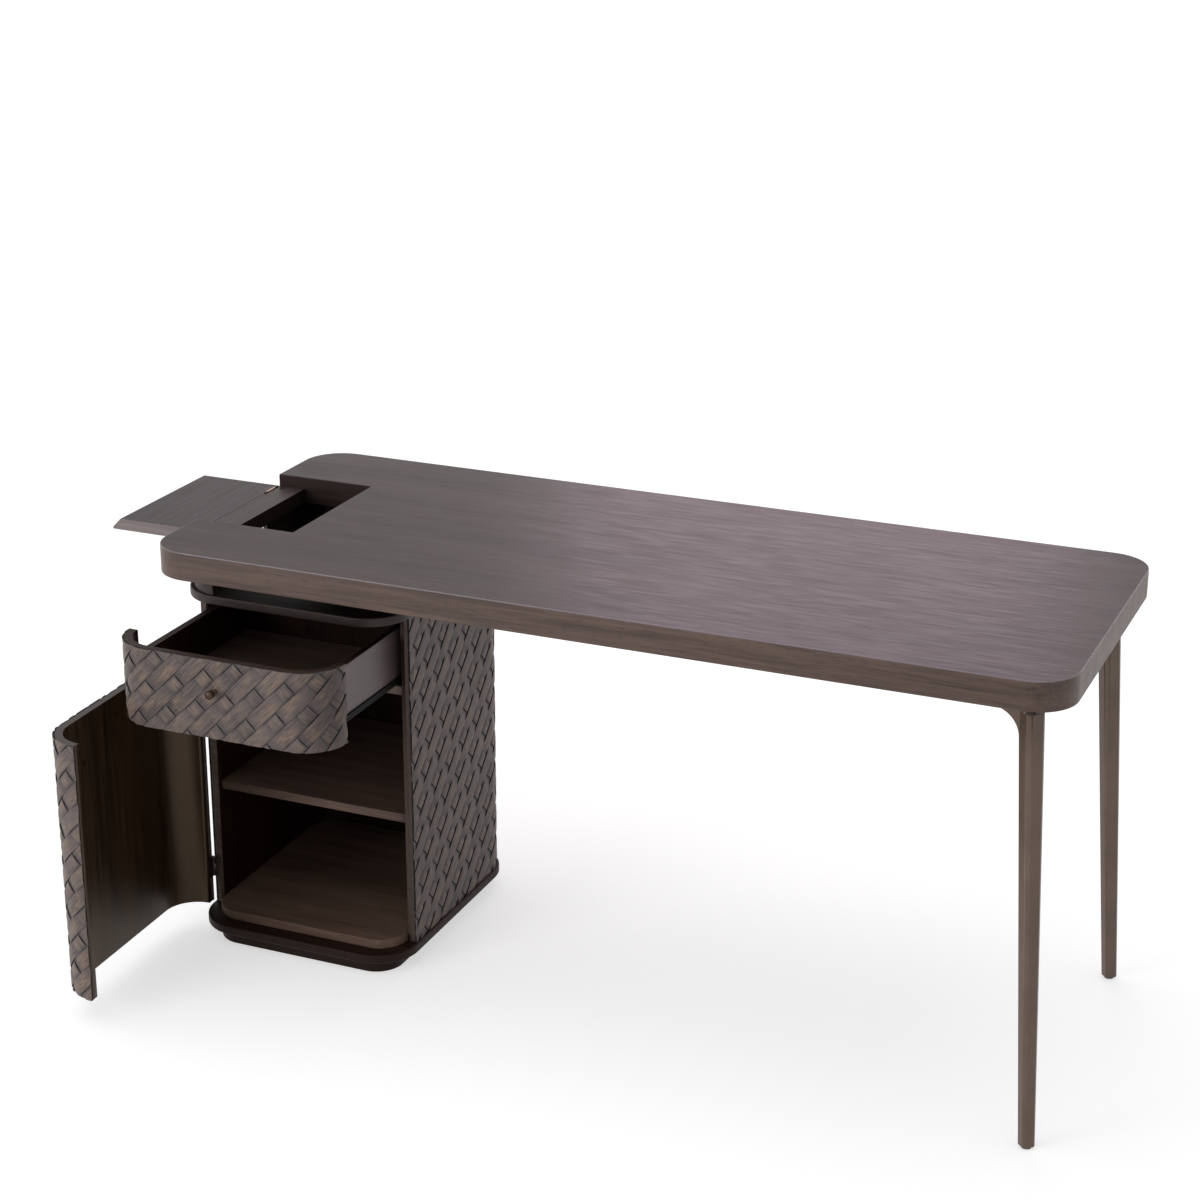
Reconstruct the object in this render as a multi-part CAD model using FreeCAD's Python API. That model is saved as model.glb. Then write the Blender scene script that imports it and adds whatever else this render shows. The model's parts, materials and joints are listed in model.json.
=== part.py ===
import FreeCAD, Part
import math
import os

# Pedestal writing desk. Millimetres, +Z up, +X along the desk towards the legs, +Y to the back.
# The origin is on the floor, under the middle of the pedestal.

# Whole desk
desk_height = 750.0
slab_length = 1508.4
slab_depth = 600.0
slab_thickness = 47.2
slab_corner_radius = 68.0
slab_edge_ease = 1.0
slab_left_setback = 1.3

# Cable notch in the slab's left end, the rail that closes it, and the flap over it
notch_length = 181.2
notch_width = 272.0
rail_width = 50.0
flap_thickness = 19.6
flap_drop = 1.0
flap_side_gap = 1.5
flap_end_slot = 13.4
flap_lip = 4.0
flap_axis_gap = 0.4
flap_seat_gap = 0.2
flap_open_angle = 180.0

# Pedestal: outside of the woven walls
pedestal_width = 394.0
pedestal_front_setback = 88.5
pedestal_rear_setback = 62.5
pedestal_corner_radius = 71.0
board_thickness = 13.0
front_gap = 2.2
glue_line = 0.05

# Pedestal: boards from the floor up
toe_height = 26.0
toe_inset = 26.5
toe_front_inset = 20.0
plinth_thickness = 16.0
plinth_overhang = 3.5
floor_board_thickness = 16.0
floor_board_gap = 1.5
floor_board_corner_ease = 4.45
floor_board_end_gap = 7.0
shelf_height_share = 0.48072
shelf_thickness = 16.0
shelf_side_gap = 0.5
shelf_front_setback = 10.0
shelf_corner_ease = 1.45
divider_thickness = 16.0
top_board_thickness = 16.0
neck_height = 53.8

# Shelf pins
pin_radius = 2.5
pin_fit = 0.05
pin_socket_depth = 8.0
pin_reach = 9.0
pin_spread = 95.0

# Neck walls between pedestal and slab
neck_side_inset = 8.5
neck_corner_ease = 7.0
neck_wall_thickness = 14.0
neck_opening_width = 124.0
neck_right_setback = 24.0
neck_front_setback = 75.0

# Woven relief on the walls: strips at 45 degrees, over three and under one
weave_relief = 3.5
weave_dip = 2.0
weave_pitch = 25.5
weave_snap = 0.3
side_weave_drop = 13.0

# Drawer
drawer_front_height = 133.0
drawer_reveal = 3.0
drawer_side_gap = 12.95
drawer_rear_gap = 55.9
drawer_box_lift = 23.0
drawer_side_thickness = 12.5
drawer_bottom_thickness = 8.0
drawer_bottom_lift = 5.0
drawer_box_drop = 26.0
drawer_rest_pull_share = 0.5916667

# Drawer slides, under the drawer sides
slide_height = 15.0
runner_width = 18.0
runner_wall = 1.5
runner_skirt = 10.0
runner_front_setback = 60.0
rail_play = 0.3
rail_front_setback = 12.0
rail_rear_gap = 40.0

# Door
door_reveal = 4.0
door_open_angle = 88.8
door_knob_step_along = -2
door_knob_step_across = 7

# Door butt hinges
door_hinge_inset = 64.0
door_hinge_length = 36.0
door_knuckle_radius = 2.1
door_axis_offset = 2.0
door_leaf_thickness = 0.9
door_leaf_width = 14.5
hinge_play = 0.3
hinge_pin_radius = 1.2
hinge_pin_fit = 0.05
hinge_pin_head = 1.5

# Flap butt hinges
flap_hinge_inset = 27.5
flap_hinge_length = 40.0
flap_knuckle_radius = 2.2
flap_leaf_thickness = 1.2
flap_leaf_width = 14.0
flap_leaf_recess = 0.1

# Knobs, turned
knob_projection = 18.0
knob_head_radius = 7.25
knob_foot_radius = 6.0
knob_foot_thickness = 1.5
knob_neck_radius = 3.6
knob_neck_place = 5.0
knob_head_place = 9.5
knob_shoulder_place = 15.0
knob_height_on_drawer = 80.0
knob_screw_radius = 2.0
knob_screw_fit = 0.15
knob_screw_depth = 8.0
knob_screw_head_radius = 4.0
knob_screw_head_thickness = 2.5

# Legs: square section set on the diagonal with cut corners, splayed outwards, with a flared head
leg_end_inset = 19.9
leg_side_inset = 13.3
leg_splay_along = 41.8
leg_splay_across = 31.3
leg_top_gap = 15.3
leg_foot_width = 22.1
leg_top_width = 32.4
leg_corner_share = 0.21
glide_radius = 8.0
glide_thickness = 3.0
arm_length = 100.0
arm_width = 15.0
arm_root = 15.0
arm_flare_radius = 46.0
arm_fade = 60.0
arm_thickness = 12.0
bolt_place = 84.0
bolt_radius = 2.5
bolt_fit = 0.1
bolt_depth = 22.0
bolt_head_radius = 4.5
bolt_head_thickness = 3.0

# Amount by which a cutting solid runs past what it cuts
overrun = 5.0

# Levels and lines that several pieces share
half_width = pedestal_width / 2
half_depth = (slab_depth - pedestal_front_setback - pedestal_rear_setback) / 2
slab_bottom = desk_height - slab_thickness
slab_centre_y = (pedestal_rear_setback - pedestal_front_setback) / 2
slab_left = slab_left_setback - half_width
top_board_top = slab_bottom - neck_height
wall_top = top_board_top - top_board_thickness
wall_bottom = toe_height + plinth_thickness
drawer_front_top = wall_top - drawer_reveal
drawer_front_bottom = drawer_front_top - drawer_front_height
door_top = drawer_front_bottom - front_gap
door_bottom = wall_bottom + door_reveal
front_end_y = pedestal_corner_radius - half_depth
panel_front_y = front_end_y + front_gap
panel_rear_y = half_depth - pedestal_corner_radius
board_inset = weave_relief + glue_line
inner_inset = board_inset + board_thickness
drawer_box_bottom = drawer_front_bottom + drawer_box_lift
drawer_box_top = drawer_front_top - drawer_box_drop
drawer_box_half = half_width - inner_inset - drawer_side_gap
drawer_front_y = inner_inset - half_depth
drawer_rear_y = half_depth - inner_inset - drawer_rear_gap
drawer_rest_pull = drawer_rest_pull_share * (drawer_rear_y - drawer_front_y)
divider_top = drawer_box_bottom - slide_height
divider_height = divider_top - divider_thickness
floor_board_top = wall_bottom + floor_board_thickness
shelf_height = floor_board_top + shelf_height_share * (divider_height - shelf_thickness - floor_board_top)
knob_height = drawer_front_bottom + knob_height_on_drawer
weave_step = weave_pitch / math.sqrt(2)
door_axis_x = -(half_width + door_axis_offset)
door_axis_y = front_end_y + front_gap / 2
flap_axis_x = slab_left - flap_axis_gap
flap_axis_z = desk_height - flap_drop - flap_thickness - flap_seat_gap
flap_width = notch_width - 2 * flap_side_gap
rail_top = flap_axis_z - flap_seat_gap
notch_end_x = slab_left + notch_length
leg_foot_x = slab_left + slab_length - leg_end_inset
leg_foot_y = slab_centre_y - slab_depth / 2 + leg_side_inset

V = FreeCAD.Vector
UP = V(0, 0, 1)
ALONG = V(1, 0, 0)
BACK = V(0, 1, 0)


def box(x_range, y_range, z_range):
    """Plain block between three pairs of limits."""
    low = V(x_range[0], y_range[0], z_range[0])
    return Part.makeBox(x_range[1] - low.x, y_range[1] - low.y, z_range[1] - low.z, low)


def is_upright(edge):
    """True for an edge that rises more than it runs."""
    extent = edge.BoundBox
    return extent.ZLength > extent.XLength + extent.YLength


def rounded_plate(x_range, y_range, z_range, front_radius, rear_radius):
    """Board with upright quarter-round corners; a radius of zero leaves a pair square."""
    plate = box(x_range, y_range, z_range)
    for radius, y in ((front_radius, y_range[0]), (rear_radius, y_range[1])):
        if radius > 0:
            uprights = [edge for edge in plate.Edges if is_upright(edge)]
            corners = [edge for edge in uprights if abs(edge.CenterOfMass.y - y) < glue_line]
            plate = plate.makeFillet(radius, corners)
    return plate


def pedestal_plate(inset, z_range):
    """Rounded plate that follows the pedestal's outline, drawn in by the inset."""
    radius = pedestal_corner_radius - inset
    x = half_width - inset
    y = half_depth - inset
    return rounded_plate((-x, x), (-y, y), z_range, radius, radius)


def wall_piece(x_range, y_range, z_range):
    """Stretch of the pedestal's bent wall board that lies within the given limits."""
    ring = pedestal_plate(board_inset, z_range).cut(pedestal_plate(inner_inset, z_range))
    return ring.common(box(x_range, y_range, z_range))


def cylinder(radius, start, direction, length):
    """Round bar from a start point along a direction."""
    return Part.makeCylinder(radius, length, start, direction)


# The woven relief is worked out on the unrolled wall: s runs along the crest line from the middle
# of the front to the right, z is the height, and h is the height above the board.
def wall_runs():
    """Straight and quarter-round runs of the crest line, as (length, turn), from the front's middle."""
    flat_x = half_width - pedestal_corner_radius
    flat_y = half_depth - pedestal_corner_radius
    arc = pedestal_corner_radius * math.pi / 2
    turn = math.pi / 2
    side = [(arc, turn), (2 * flat_y, 0), (arc, turn)]
    return [(flat_x, 0)] + side + [(2 * flat_x, 0)] + side + [(flat_x, 0)]


def wall_breaks():
    """Distances along the crest line at which a straight run meets a quarter round."""
    breaks = [0]
    for length, turn in wall_runs():
        breaks.append(breaks[-1] + length)
    return breaks


def wall_point(s, z, h):
    """Point in space for a point of the unrolled wall."""
    x, y, heading = 0, -half_depth, 0
    rest = s % wall_breaks()[-1]
    for length, turn in wall_runs():
        step = min(rest, length)
        if turn:
            swept = turn * step / length
            x += pedestal_corner_radius * (math.sin(heading + swept) - math.sin(heading))
            y += pedestal_corner_radius * (math.cos(heading) - math.cos(heading + swept))
            heading += swept
        else:
            x += step * math.cos(heading)
            y += step * math.sin(heading)
        rest -= step
        if rest <= 0:
            break
    lift = h - weave_relief
    return V(x + lift * math.sin(heading), y - lift * math.cos(heading), z)


def weave_cell(i, j):
    """Faces of one cell of the weave, and of the steps to its next neighbours, in cell units.

    A strip that runs up to the right passes over three cells and dips under the fourth, where the
    crossing strip shows as a square. Each face is a list of (p, q, h) corners.
    """
    low, high = weave_dip, weave_relief
    p0, p1, q0, q1 = i - 1 / 2, i + 1 / 2, j - 1 / 2, j + 1 / 2
    place = (i - 2 * j + 2) % 4
    top = [(p0, q1), (p1, q1)]
    if place == 0:
        ridge_a, ridge_b = (p0, j, high), (p1, j, high)
        faces = [
            [(p0, q0, low), (p1, q0, low), ridge_b, ridge_a],
            [ridge_a, ridge_b, (p1, q1, low), (p0, q1, low)],
            [(p0, q0, low), ridge_a, (p0, q1, low)],
            [(p1, q0, low), (p1, q1, low), ridge_b],
        ]
        steps = [[(*top[0], low), (*top[1], low), (*top[1], high), (*top[0], high)]]
    elif place == 1:
        faces = [
            [(p0, q0, low), (i, q0, high), (i, q1, high), (p0, q1, low)],
            [(i, q0, high), (p1, q0, high), (p1, q1, high), (i, q1, high)],
        ]
        steps = [
            [(*top[0], low), (i, q1, high), (*top[0], high)],
            [(i, q1, high), (*top[1], low), (*top[1], high)],
        ]
    elif place == 2:
        faces = [[(p0, q0, high), (p1, q0, high), (p1, q1, high), (p0, q1, high)]]
        steps = [[(*top[0], high), (*top[1], high), (*top[1], low), (*top[0], low)]]
    else:
        faces = [
            [(p0, q0, high), (i, q0, high), (i, q1, high), (p0, q1, high)],
            [(i, q0, high), (p1, q0, low), (p1, q1, low), (i, q1, high)],
        ]
        steps = [
            [(*top[0], low), (*top[0], high), (i, q1, high)],
            [(i, q1, high), (*top[1], high), (*top[1], low)],
        ]
    return faces + steps


def triangles_of(face):
    """Triangles of a face; a four-sided one is split along its upright diagonal."""
    if len(face) == 3:
        return [face]
    a, b, c, d = face
    return [[a, b, d], [b, c, d]]


def clipped(face, axis, limit, keep_above):
    """Part of a flat face on one side of a limit along the given coordinate."""
    sign = 1 if keep_above else -1
    kept = []
    for here, ahead in zip(face, face[1:] + face[:1]):
        depth_here = sign * (here[axis] - limit)
        depth_ahead = sign * (ahead[axis] - limit)
        if depth_here >= 0:
            kept.append(here)
        if depth_here * depth_ahead < 0:
            first, last = sorted((here, ahead))
            share = (limit - first[axis]) / (last[axis] - first[axis])
            cut = [a + share * (b - a) for a, b in zip(first, last)]
            cut[axis] = limit
            kept.append(tuple(cut))
    return kept


def weave_faces(s_range, z_range, level):
    """Triangles of the relief, in (s, z, h), trimmed to a stretch of the unrolled wall.

    The level is the height of the row of cells from which the others are counted.
    """
    def placed(corner):
        p, q, h = corner
        point = [(p + q) * weave_step, level + (p - q) * weave_step, h]
        for axis, limits in enumerate((s_range, z_range)):
            for limit in limits:
                if abs(point[axis] - limit) < weave_snap:
                    point[axis] = limit
        return tuple(point)

    def reach(limits, zero):
        first = math.floor((limits[0] - zero) / weave_step) - 1
        last = math.ceil((limits[1] - zero) / weave_step) + 1
        return range(first, last + 1)

    found = []
    for total in reach(s_range, 0):
        for difference in reach(z_range, level):
            if (total + difference) % 2:
                continue
            for face in weave_cell((total + difference) // 2, (total - difference) // 2):
                for triangle in triangles_of(face):
                    piece = [placed(corner) for corner in triangle]
                    for axis, limits in enumerate((s_range, z_range)):
                        piece = clipped(piece, axis, limits[0], True)
                        piece = clipped(piece, axis, limits[1], False)
                    piece = [point for n, point in enumerate(piece) if point != piece[n - 1]]
                    found += [[piece[0], piece[n], piece[n + 1]] for n in range(1, len(piece) - 1)]
    return [face for face in found if has_area(face)]


def has_area(face):
    """True for a triangle whose corners are neither equal nor in line."""
    a, b, c = (V(*point) for point in face)
    return (b - a).cross(c - a).Length > glue_line * glue_line


def rim_edges(faces, axis, limit):
    """Straight edges of the relief along one trimmed side."""
    seen = {}
    for face in faces:
        for here, ahead in zip(face, face[1:] + face[:1]):
            if here[axis] == limit and ahead[axis] == limit and here != ahead:
                pair = tuple(sorted((here, ahead)))
                seen[pair] = seen.get(pair, 0) + 1
    return [
        Part.makeLine(wall_point(*here), wall_point(*ahead))
        for (here, ahead), count in seen.items() if count % 2
    ]


def rim_top(faces, s, z):
    """Height of the relief at a trimmed corner."""
    return max(point[2] for face in faces for point in face if point[0] == s and point[1] == z)


def woven_facing(s_range, z_range, level):
    """Woven facing for a stretch of wall, with a smooth back that seats on the board."""
    faces = weave_faces(s_range, z_range, level)
    length = wall_breaks()[-1]
    breaks = sorted({b + n * length for b in wall_breaks() for n in (-1, 0, 1)})
    first, last = s_range
    stations = [first] + [b for b in breaks if first + weave_snap < b < last - weave_snap] + [last]

    def back_edges(z):
        edges = []
        for s0, s1 in zip(stations, stations[1:]):
            ends = [wall_point(s, z, 0) for s in (s0, (s0 + s1) / 2, s1)]
            bowed = (ends[1] - (ends[0] + ends[2]) / 2).Length > glue_line
            curve = Part.Arc(*ends) if bowed else Part.LineSegment(ends[0], ends[2])
            edges.append(curve.toShape())
        return edges

    corner_lines = {
        (s, z): Part.makeLine(wall_point(s, z, 0), wall_point(s, z, rim_top(faces, s, z)))
        for s in s_range for z in z_range
    }
    outlines = [[wall_point(*point) for point in face + face[:1]] for face in faces]
    skin = [Part.Face(Part.makePolygon(outline)) for outline in outlines]
    rise = UP * (z_range[1] - z_range[0])
    skin += [edge.extrude(rise) for edge in back_edges(z_range[0])]
    for z in z_range:
        rim = rim_edges(faces, 1, z) + back_edges(z) + [corner_lines[(s, z)] for s in s_range]
        skin.append(Part.Face(Part.Wire(Part.__sortEdges__(rim))))
    for s in s_range:
        foot = Part.makeLine(wall_point(s, z_range[0], 0), wall_point(s, z_range[1], 0))
        rim = rim_edges(faces, 0, s) + [foot] + [corner_lines[(s, z)] for z in z_range]
        skin.append(Part.Face(Part.Wire(Part.__sortEdges__(rim))))
    solid = Part.Solid(Part.Shell(skin))
    return solid if solid.Volume > 0 else solid.reversed()


def turned_knob():
    """Knob as turned on a lathe: foot at the origin, axis along +Z, domed end."""
    rise = knob_projection - knob_shoulder_place
    dome_radius = (knob_head_radius ** 2 + rise ** 2) / (2 * rise)
    dome_turn = math.asin(knob_head_radius / dome_radius) / 2
    dome_middle_z = knob_projection - dome_radius * (1 - math.cos(dome_turn))
    profile = [
        Part.LineSegment(V(0, 0, 0), V(knob_foot_radius, 0, 0)),
        Part.LineSegment(V(knob_foot_radius, 0, 0), V(knob_foot_radius, 0, knob_foot_thickness)),
        Part.Arc(
            V(knob_foot_radius, 0, knob_foot_thickness),
            V(knob_neck_radius, 0, knob_neck_place),
            V(knob_head_radius, 0, knob_head_place),
        ),
        Part.LineSegment(
            V(knob_head_radius, 0, knob_head_place),
            V(knob_head_radius, 0, knob_shoulder_place),
        ),
        Part.Arc(
            V(knob_head_radius, 0, knob_shoulder_place),
            V(dome_radius * math.sin(dome_turn), 0, dome_middle_z),
            V(0, 0, knob_projection),
        ),
        Part.LineSegment(V(0, 0, knob_projection), V(0, 0, 0)),
    ]
    face = Part.Face(Part.Wire([line.toShape() for line in profile]))
    knob = face.revolve(V(0, 0, 0), UP, 360)
    return knob.cut(cylinder(knob_screw_radius + glue_line, V(0, 0, 0), UP, knob_screw_depth))


def knob_set(x, z):
    """Knob on the wall's front, its screw from the inside, and the hole that the screw needs."""
    front = V(x, -half_depth, z)
    inside = V(x, inner_inset - half_depth, z)
    knob = turned_knob()
    knob.rotate(V(0, 0, 0), ALONG, 90)
    knob.translate(front)
    reach = inside.y - front.y + knob_screw_depth
    shank = cylinder(knob_screw_radius, inside, -BACK, reach - glue_line)
    head = cylinder(knob_screw_head_radius, inside, BACK, knob_screw_head_thickness)
    hole = cylinder(knob_screw_radius + knob_screw_fit, inside + BACK * overrun, -BACK, reach + overrun)
    return knob, shank.fuse(head).removeSplitter(), hole


def butt_hinge(length, knuckle_radius, leaf_width, leaf_thickness, leaf_gap):
    """Butt hinge with its axis along +Z from the origin, its leaves closed and reaching to +X.

    The fixed leaf lies on the +Y side with the outer knuckles, the swinging leaf on the -Y side
    with the middle one. Returns the fixed leaf, the swinging leaf and the pin.
    """
    third = length / 3
    play = hinge_play / 2
    clear = knuckle_radius + hinge_play
    bore = cylinder(hinge_pin_radius + hinge_pin_fit, V(0, 0, -overrun), UP, length + 2 * overrun)
    spans = [(0, third - play), (third + play, 2 * third - play), (2 * third + play, length)]

    def leaf(own_spans, y_range):
        shape = box((clear, clear + leaf_width), y_range, (0, length))
        for low, high in own_spans:
            tab = box((0, clear), y_range, (low, high))
            shape = shape.fuse([cylinder(knuckle_radius, V(0, 0, low), UP, high - low), tab])
        return shape.cut(bore).removeSplitter()

    fixed = leaf([spans[0], spans[2]], (leaf_gap, leaf_gap + leaf_thickness))
    swinging = leaf([spans[1]], (-leaf_gap - leaf_thickness, -leaf_gap))
    pin = cylinder(hinge_pin_radius, V(0, 0, 0), UP, length)
    pin = pin.fuse(cylinder(knuckle_radius, V(0, 0, length), UP, hinge_pin_head)).removeSplitter()
    return fixed, swinging, pin


def desk_top():
    """Slab with its cable notch and the pilot holes for the leg bolts."""
    slab = rounded_plate(
        (slab_left, slab_left + slab_length),
        (slab_centre_y - slab_depth / 2, slab_centre_y + slab_depth / 2),
        (slab_bottom, desk_height),
        slab_corner_radius, slab_corner_radius,
    )
    slab = slab.makeChamfer(slab_edge_ease, [edge for edge in slab.Edges if not is_upright(edge)])
    notch = box(
        (slab_left - overrun, notch_end_x),
        (slab_centre_y - notch_width / 2, slab_centre_y + notch_width / 2),
        (slab_bottom - overrun, desk_height + overrun),
    )
    pilots = [
        cylinder(bolt_radius + bolt_fit, place, UP, bolt_depth)
        for y_sign in (-1, 1) for place in bolt_places(y_sign)
    ]
    return slab.cut([notch] + pilots)


def neck_walls():
    """The curved corner walls at the left end, the straight right wall and the rear rail."""
    z_range = (top_board_top, slab_bottom)
    x_out = half_width - neck_side_inset
    x_in = x_out - neck_wall_thickness
    y_in = half_depth - neck_wall_thickness
    neck_corner_radius = pedestal_corner_radius - neck_corner_ease
    inner_radius = neck_corner_radius - neck_wall_thickness
    outer = rounded_plate(
        (-x_out, x_out), (-half_depth, half_depth), z_range, neck_corner_radius, neck_corner_radius
    )
    inner = rounded_plate((-x_in, x_in), (-y_in, y_in), z_range, inner_radius, inner_radius)
    ring = outer.cut(inner)
    arc_end = neck_corner_radius - x_out
    opening_front = slab_centre_y - neck_opening_width / 2
    opening_rear = slab_centre_y + neck_opening_width / 2
    right_x = half_width - neck_right_setback
    front_wall = ring.common(box((-x_out, arc_end), (-half_depth, opening_front), z_range))
    rear_wall = ring.common(box((-x_out, arc_end), (opening_rear, half_depth), z_range))
    right_wall = box(
        (right_x - neck_wall_thickness, right_x), (neck_front_setback - half_depth, y_in), z_range
    )
    back_rail = box((arc_end, right_x), (y_in, half_depth), z_range)
    return front_wall, rear_wall, right_wall, back_rail


def inner_board(z_low, thickness):
    """Board across the pedestal, square at the front and rounded to the bent back behind."""
    x = half_width - inner_inset - shelf_side_gap
    y_range = (panel_front_y + shelf_front_setback, half_depth - inner_inset - floor_board_end_gap)
    rear_radius = pedestal_corner_radius - inner_inset - shelf_corner_ease
    return rounded_plate((-x, x), y_range, (z_low, z_low + thickness), 0, rear_radius)


def shelf_pin_bars(radius, socket_depth, reach):
    """Four round bars under the shelf, each from inside a side panel."""
    wall = half_width - inner_inset
    bars = []
    for x_sign in (-1, 1):
        for y in (-pin_spread, pin_spread):
            start = V(x_sign * (wall + socket_depth), y, shelf_height - pin_radius)
            bars.append(cylinder(radius, start, ALONG * -x_sign, socket_depth + reach))
    return bars


def slide(x_sign):
    """Fixed rail on the divider and channel-shaped runner under a drawer side, drawer closed."""
    x = x_sign * (drawer_box_half - drawer_side_thickness / 2)
    top = drawer_box_bottom
    y_range = (runner_front_setback - half_depth, drawer_rear_y)
    runner = box((x - runner_width / 2, x + runner_width / 2), y_range, (top - runner_skirt, top))
    inside = runner_width / 2 - runner_wall
    groove_y = (y_range[0] - overrun, y_range[1] + overrun)
    groove = box((x - inside, x + inside), groove_y, (top - runner_skirt - overrun, top - runner_wall))
    bar = inside - rail_play
    rail = box(
        (x - bar, x + bar),
        (panel_front_y + rail_front_setback, half_depth - inner_inset - rail_rear_gap),
        (divider_top, top - runner_wall - rail_play),
    )
    return rail, runner.cut(groove)


def leg_section(centre, width, z):
    """Section of the front leg: a square turned to the desk's diagonal, its corners cut off flat."""
    outward = V(1, -1, 0).normalize()
    across = V(1, 1, 0).normalize()
    far = width / 2
    near = far - leg_corner_share * width
    places = [(far, near), (near, far), (-near, far), (-far, near)]
    places += [(-far, -near), (-near, -far), (near, -far), (far, -near)]
    corners = [V(centre[0], centre[1], z) + outward * u + across * v for u, v in places]
    return Part.makePolygon(corners + corners[:1])


def leg_head_centre():
    """Plan place of the front leg's head."""
    return leg_foot_x - leg_splay_along, leg_foot_y + leg_splay_across


def leg_arm(direction):
    """Arm of the leg head under the slab, with its hollow flare down to the shaft."""
    x, y = leg_head_centre()
    underside = slab_bottom - arm_thickness
    root = underside - arm_flare_radius
    flare_end = arm_root + arm_flare_radius
    dip = arm_flare_radius * (1 - math.sqrt(1 / 2))

    def at(run, z):
        return V(x, y, z) + direction * run

    heel = -arm_width / 2
    points = [at(heel, root - arm_fade), at(heel, slab_bottom), at(arm_length, slab_bottom)]
    points += [at(arm_length, underside), at(flare_end, underside)]
    lines = [Part.makeLine(a, b) for a, b in zip(points, points[1:])]
    flare = Part.Arc(points[-1], at(arm_root + dip, underside - dip), at(arm_root, root))
    lines += [flare.toShape(), Part.makeLine(at(arm_root, root), points[0])]
    across = UP.cross(direction) * arm_width
    profile = Part.Face(Part.Wire(lines))
    profile.translate(across * (-1 / 2))
    return profile.extrude(across)


def bolt_places(y_sign):
    """Points on the slab's underside where a leg's bolts go in; y_sign is -1 for the front leg."""
    x, y = leg_head_centre()
    y_off = (y - slab_centre_y) * -y_sign
    places = [V(x - bolt_place, slab_centre_y + y_off, slab_bottom)]
    places.append(V(x, slab_centre_y + y_off - y_sign * bolt_place, slab_bottom))
    return places


def front_leg_shape():
    """Tapered, splayed shaft fused to the two arms of its head."""
    head = leg_head_centre()
    foot = (leg_foot_x, leg_foot_y)
    sections = [
        leg_section(foot, leg_foot_width, glide_thickness),
        leg_section(head, leg_top_width, slab_bottom - leg_top_gap),
    ]
    shaft = Part.makeLoft(sections, True, True)
    leg = shaft.fuse([leg_arm(-ALONG), leg_arm(BACK)]).removeSplitter()
    drop = UP * (arm_thickness + overrun)
    holes = [
        cylinder(bolt_radius + bolt_fit, place - drop, UP, drop.z + overrun) for place in bolt_places(-1)
    ]
    return leg.cut(holes)


def leg_bolt(place):
    """Pan-head bolt up through a leg arm into the slab."""
    seat = place - UP * arm_thickness
    shank = cylinder(bolt_radius, seat, UP, arm_thickness + bolt_depth - glue_line)
    return shank.fuse(cylinder(bolt_head_radius, seat, -UP, bolt_head_thickness)).removeSplitter()


def mirrored_to_rear(shape):
    """The same piece on the other side of the desk's middle."""
    return shape.mirror(V(0, slab_centre_y, 0), BACK)


parts = {}

# Base, boards and neck
toe_x = half_width + plinth_overhang - toe_inset
toe_front_y = half_depth + plinth_overhang - toe_front_inset
toe_rear_y = half_depth + plinth_overhang - toe_inset
toe_corner_radius = pedestal_corner_radius + plinth_overhang - toe_inset
parts["toe_base"] = rounded_plate(
    (-toe_x, toe_x), (-toe_front_y, toe_rear_y), (0, toe_height), toe_corner_radius, toe_corner_radius
)
parts["plinth_board"] = pedestal_plate(-plinth_overhang, (toe_height, wall_bottom))
parts["pedestal_top_board"] = pedestal_plate(-plinth_overhang, (wall_top, top_board_top))
floor_x = half_width - inner_inset - floor_board_gap
floor_y = half_depth - inner_inset - floor_board_end_gap
floor_board_corner_radius = pedestal_corner_radius - inner_inset - floor_board_corner_ease
parts["floor_board"] = rounded_plate(
    (-floor_x, floor_x), (-floor_y, floor_y), (wall_bottom, floor_board_top),
    floor_board_corner_radius, floor_board_corner_radius,
)
parts["shelf_board"] = inner_board(shelf_height, shelf_thickness)
parts["drawer_divider"] = inner_board(divider_height, divider_thickness)
neck_names = ("neck_front_wall", "neck_rear_wall", "neck_right_wall", "neck_back_rail")
parts.update(zip(neck_names, neck_walls()))
parts["desktop_slab"] = desk_top()

# Side and back walls
wall_z = (wall_bottom, wall_top)
side_y = (panel_front_y, panel_rear_y)
sockets = shelf_pin_bars(pin_radius + pin_fit, pin_socket_depth, overrun)
parts["left_side_panel"] = wall_piece((-half_width, 0), side_y, wall_z).cut(sockets)
parts["right_side_panel"] = wall_piece((0, half_width), side_y, wall_z).cut(sockets)
parts["back_panel"] = wall_piece((-half_width, half_width), (panel_rear_y, half_depth), wall_z)
parts["shelf_pins"] = Part.makeCompound(shelf_pin_bars(pin_radius, pin_socket_depth, pin_reach))

# Woven facings, by their stretches of the unrolled wall
breaks = wall_breaks()
front_s = (-breaks[2], breaks[2])
right_s = (breaks[2] + front_gap, breaks[3])
back_s = (breaks[3], breaks[6])
left_s = (breaks[6], breaks[7] - front_gap)
side_level = knob_height - side_weave_drop
parts["right_weave_facing"] = woven_facing(right_s, wall_z, side_level)
parts["back_weave_facing"] = woven_facing(back_s, wall_z, side_level)
parts["left_weave_facing"] = woven_facing(left_s, wall_z, side_level)

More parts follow.
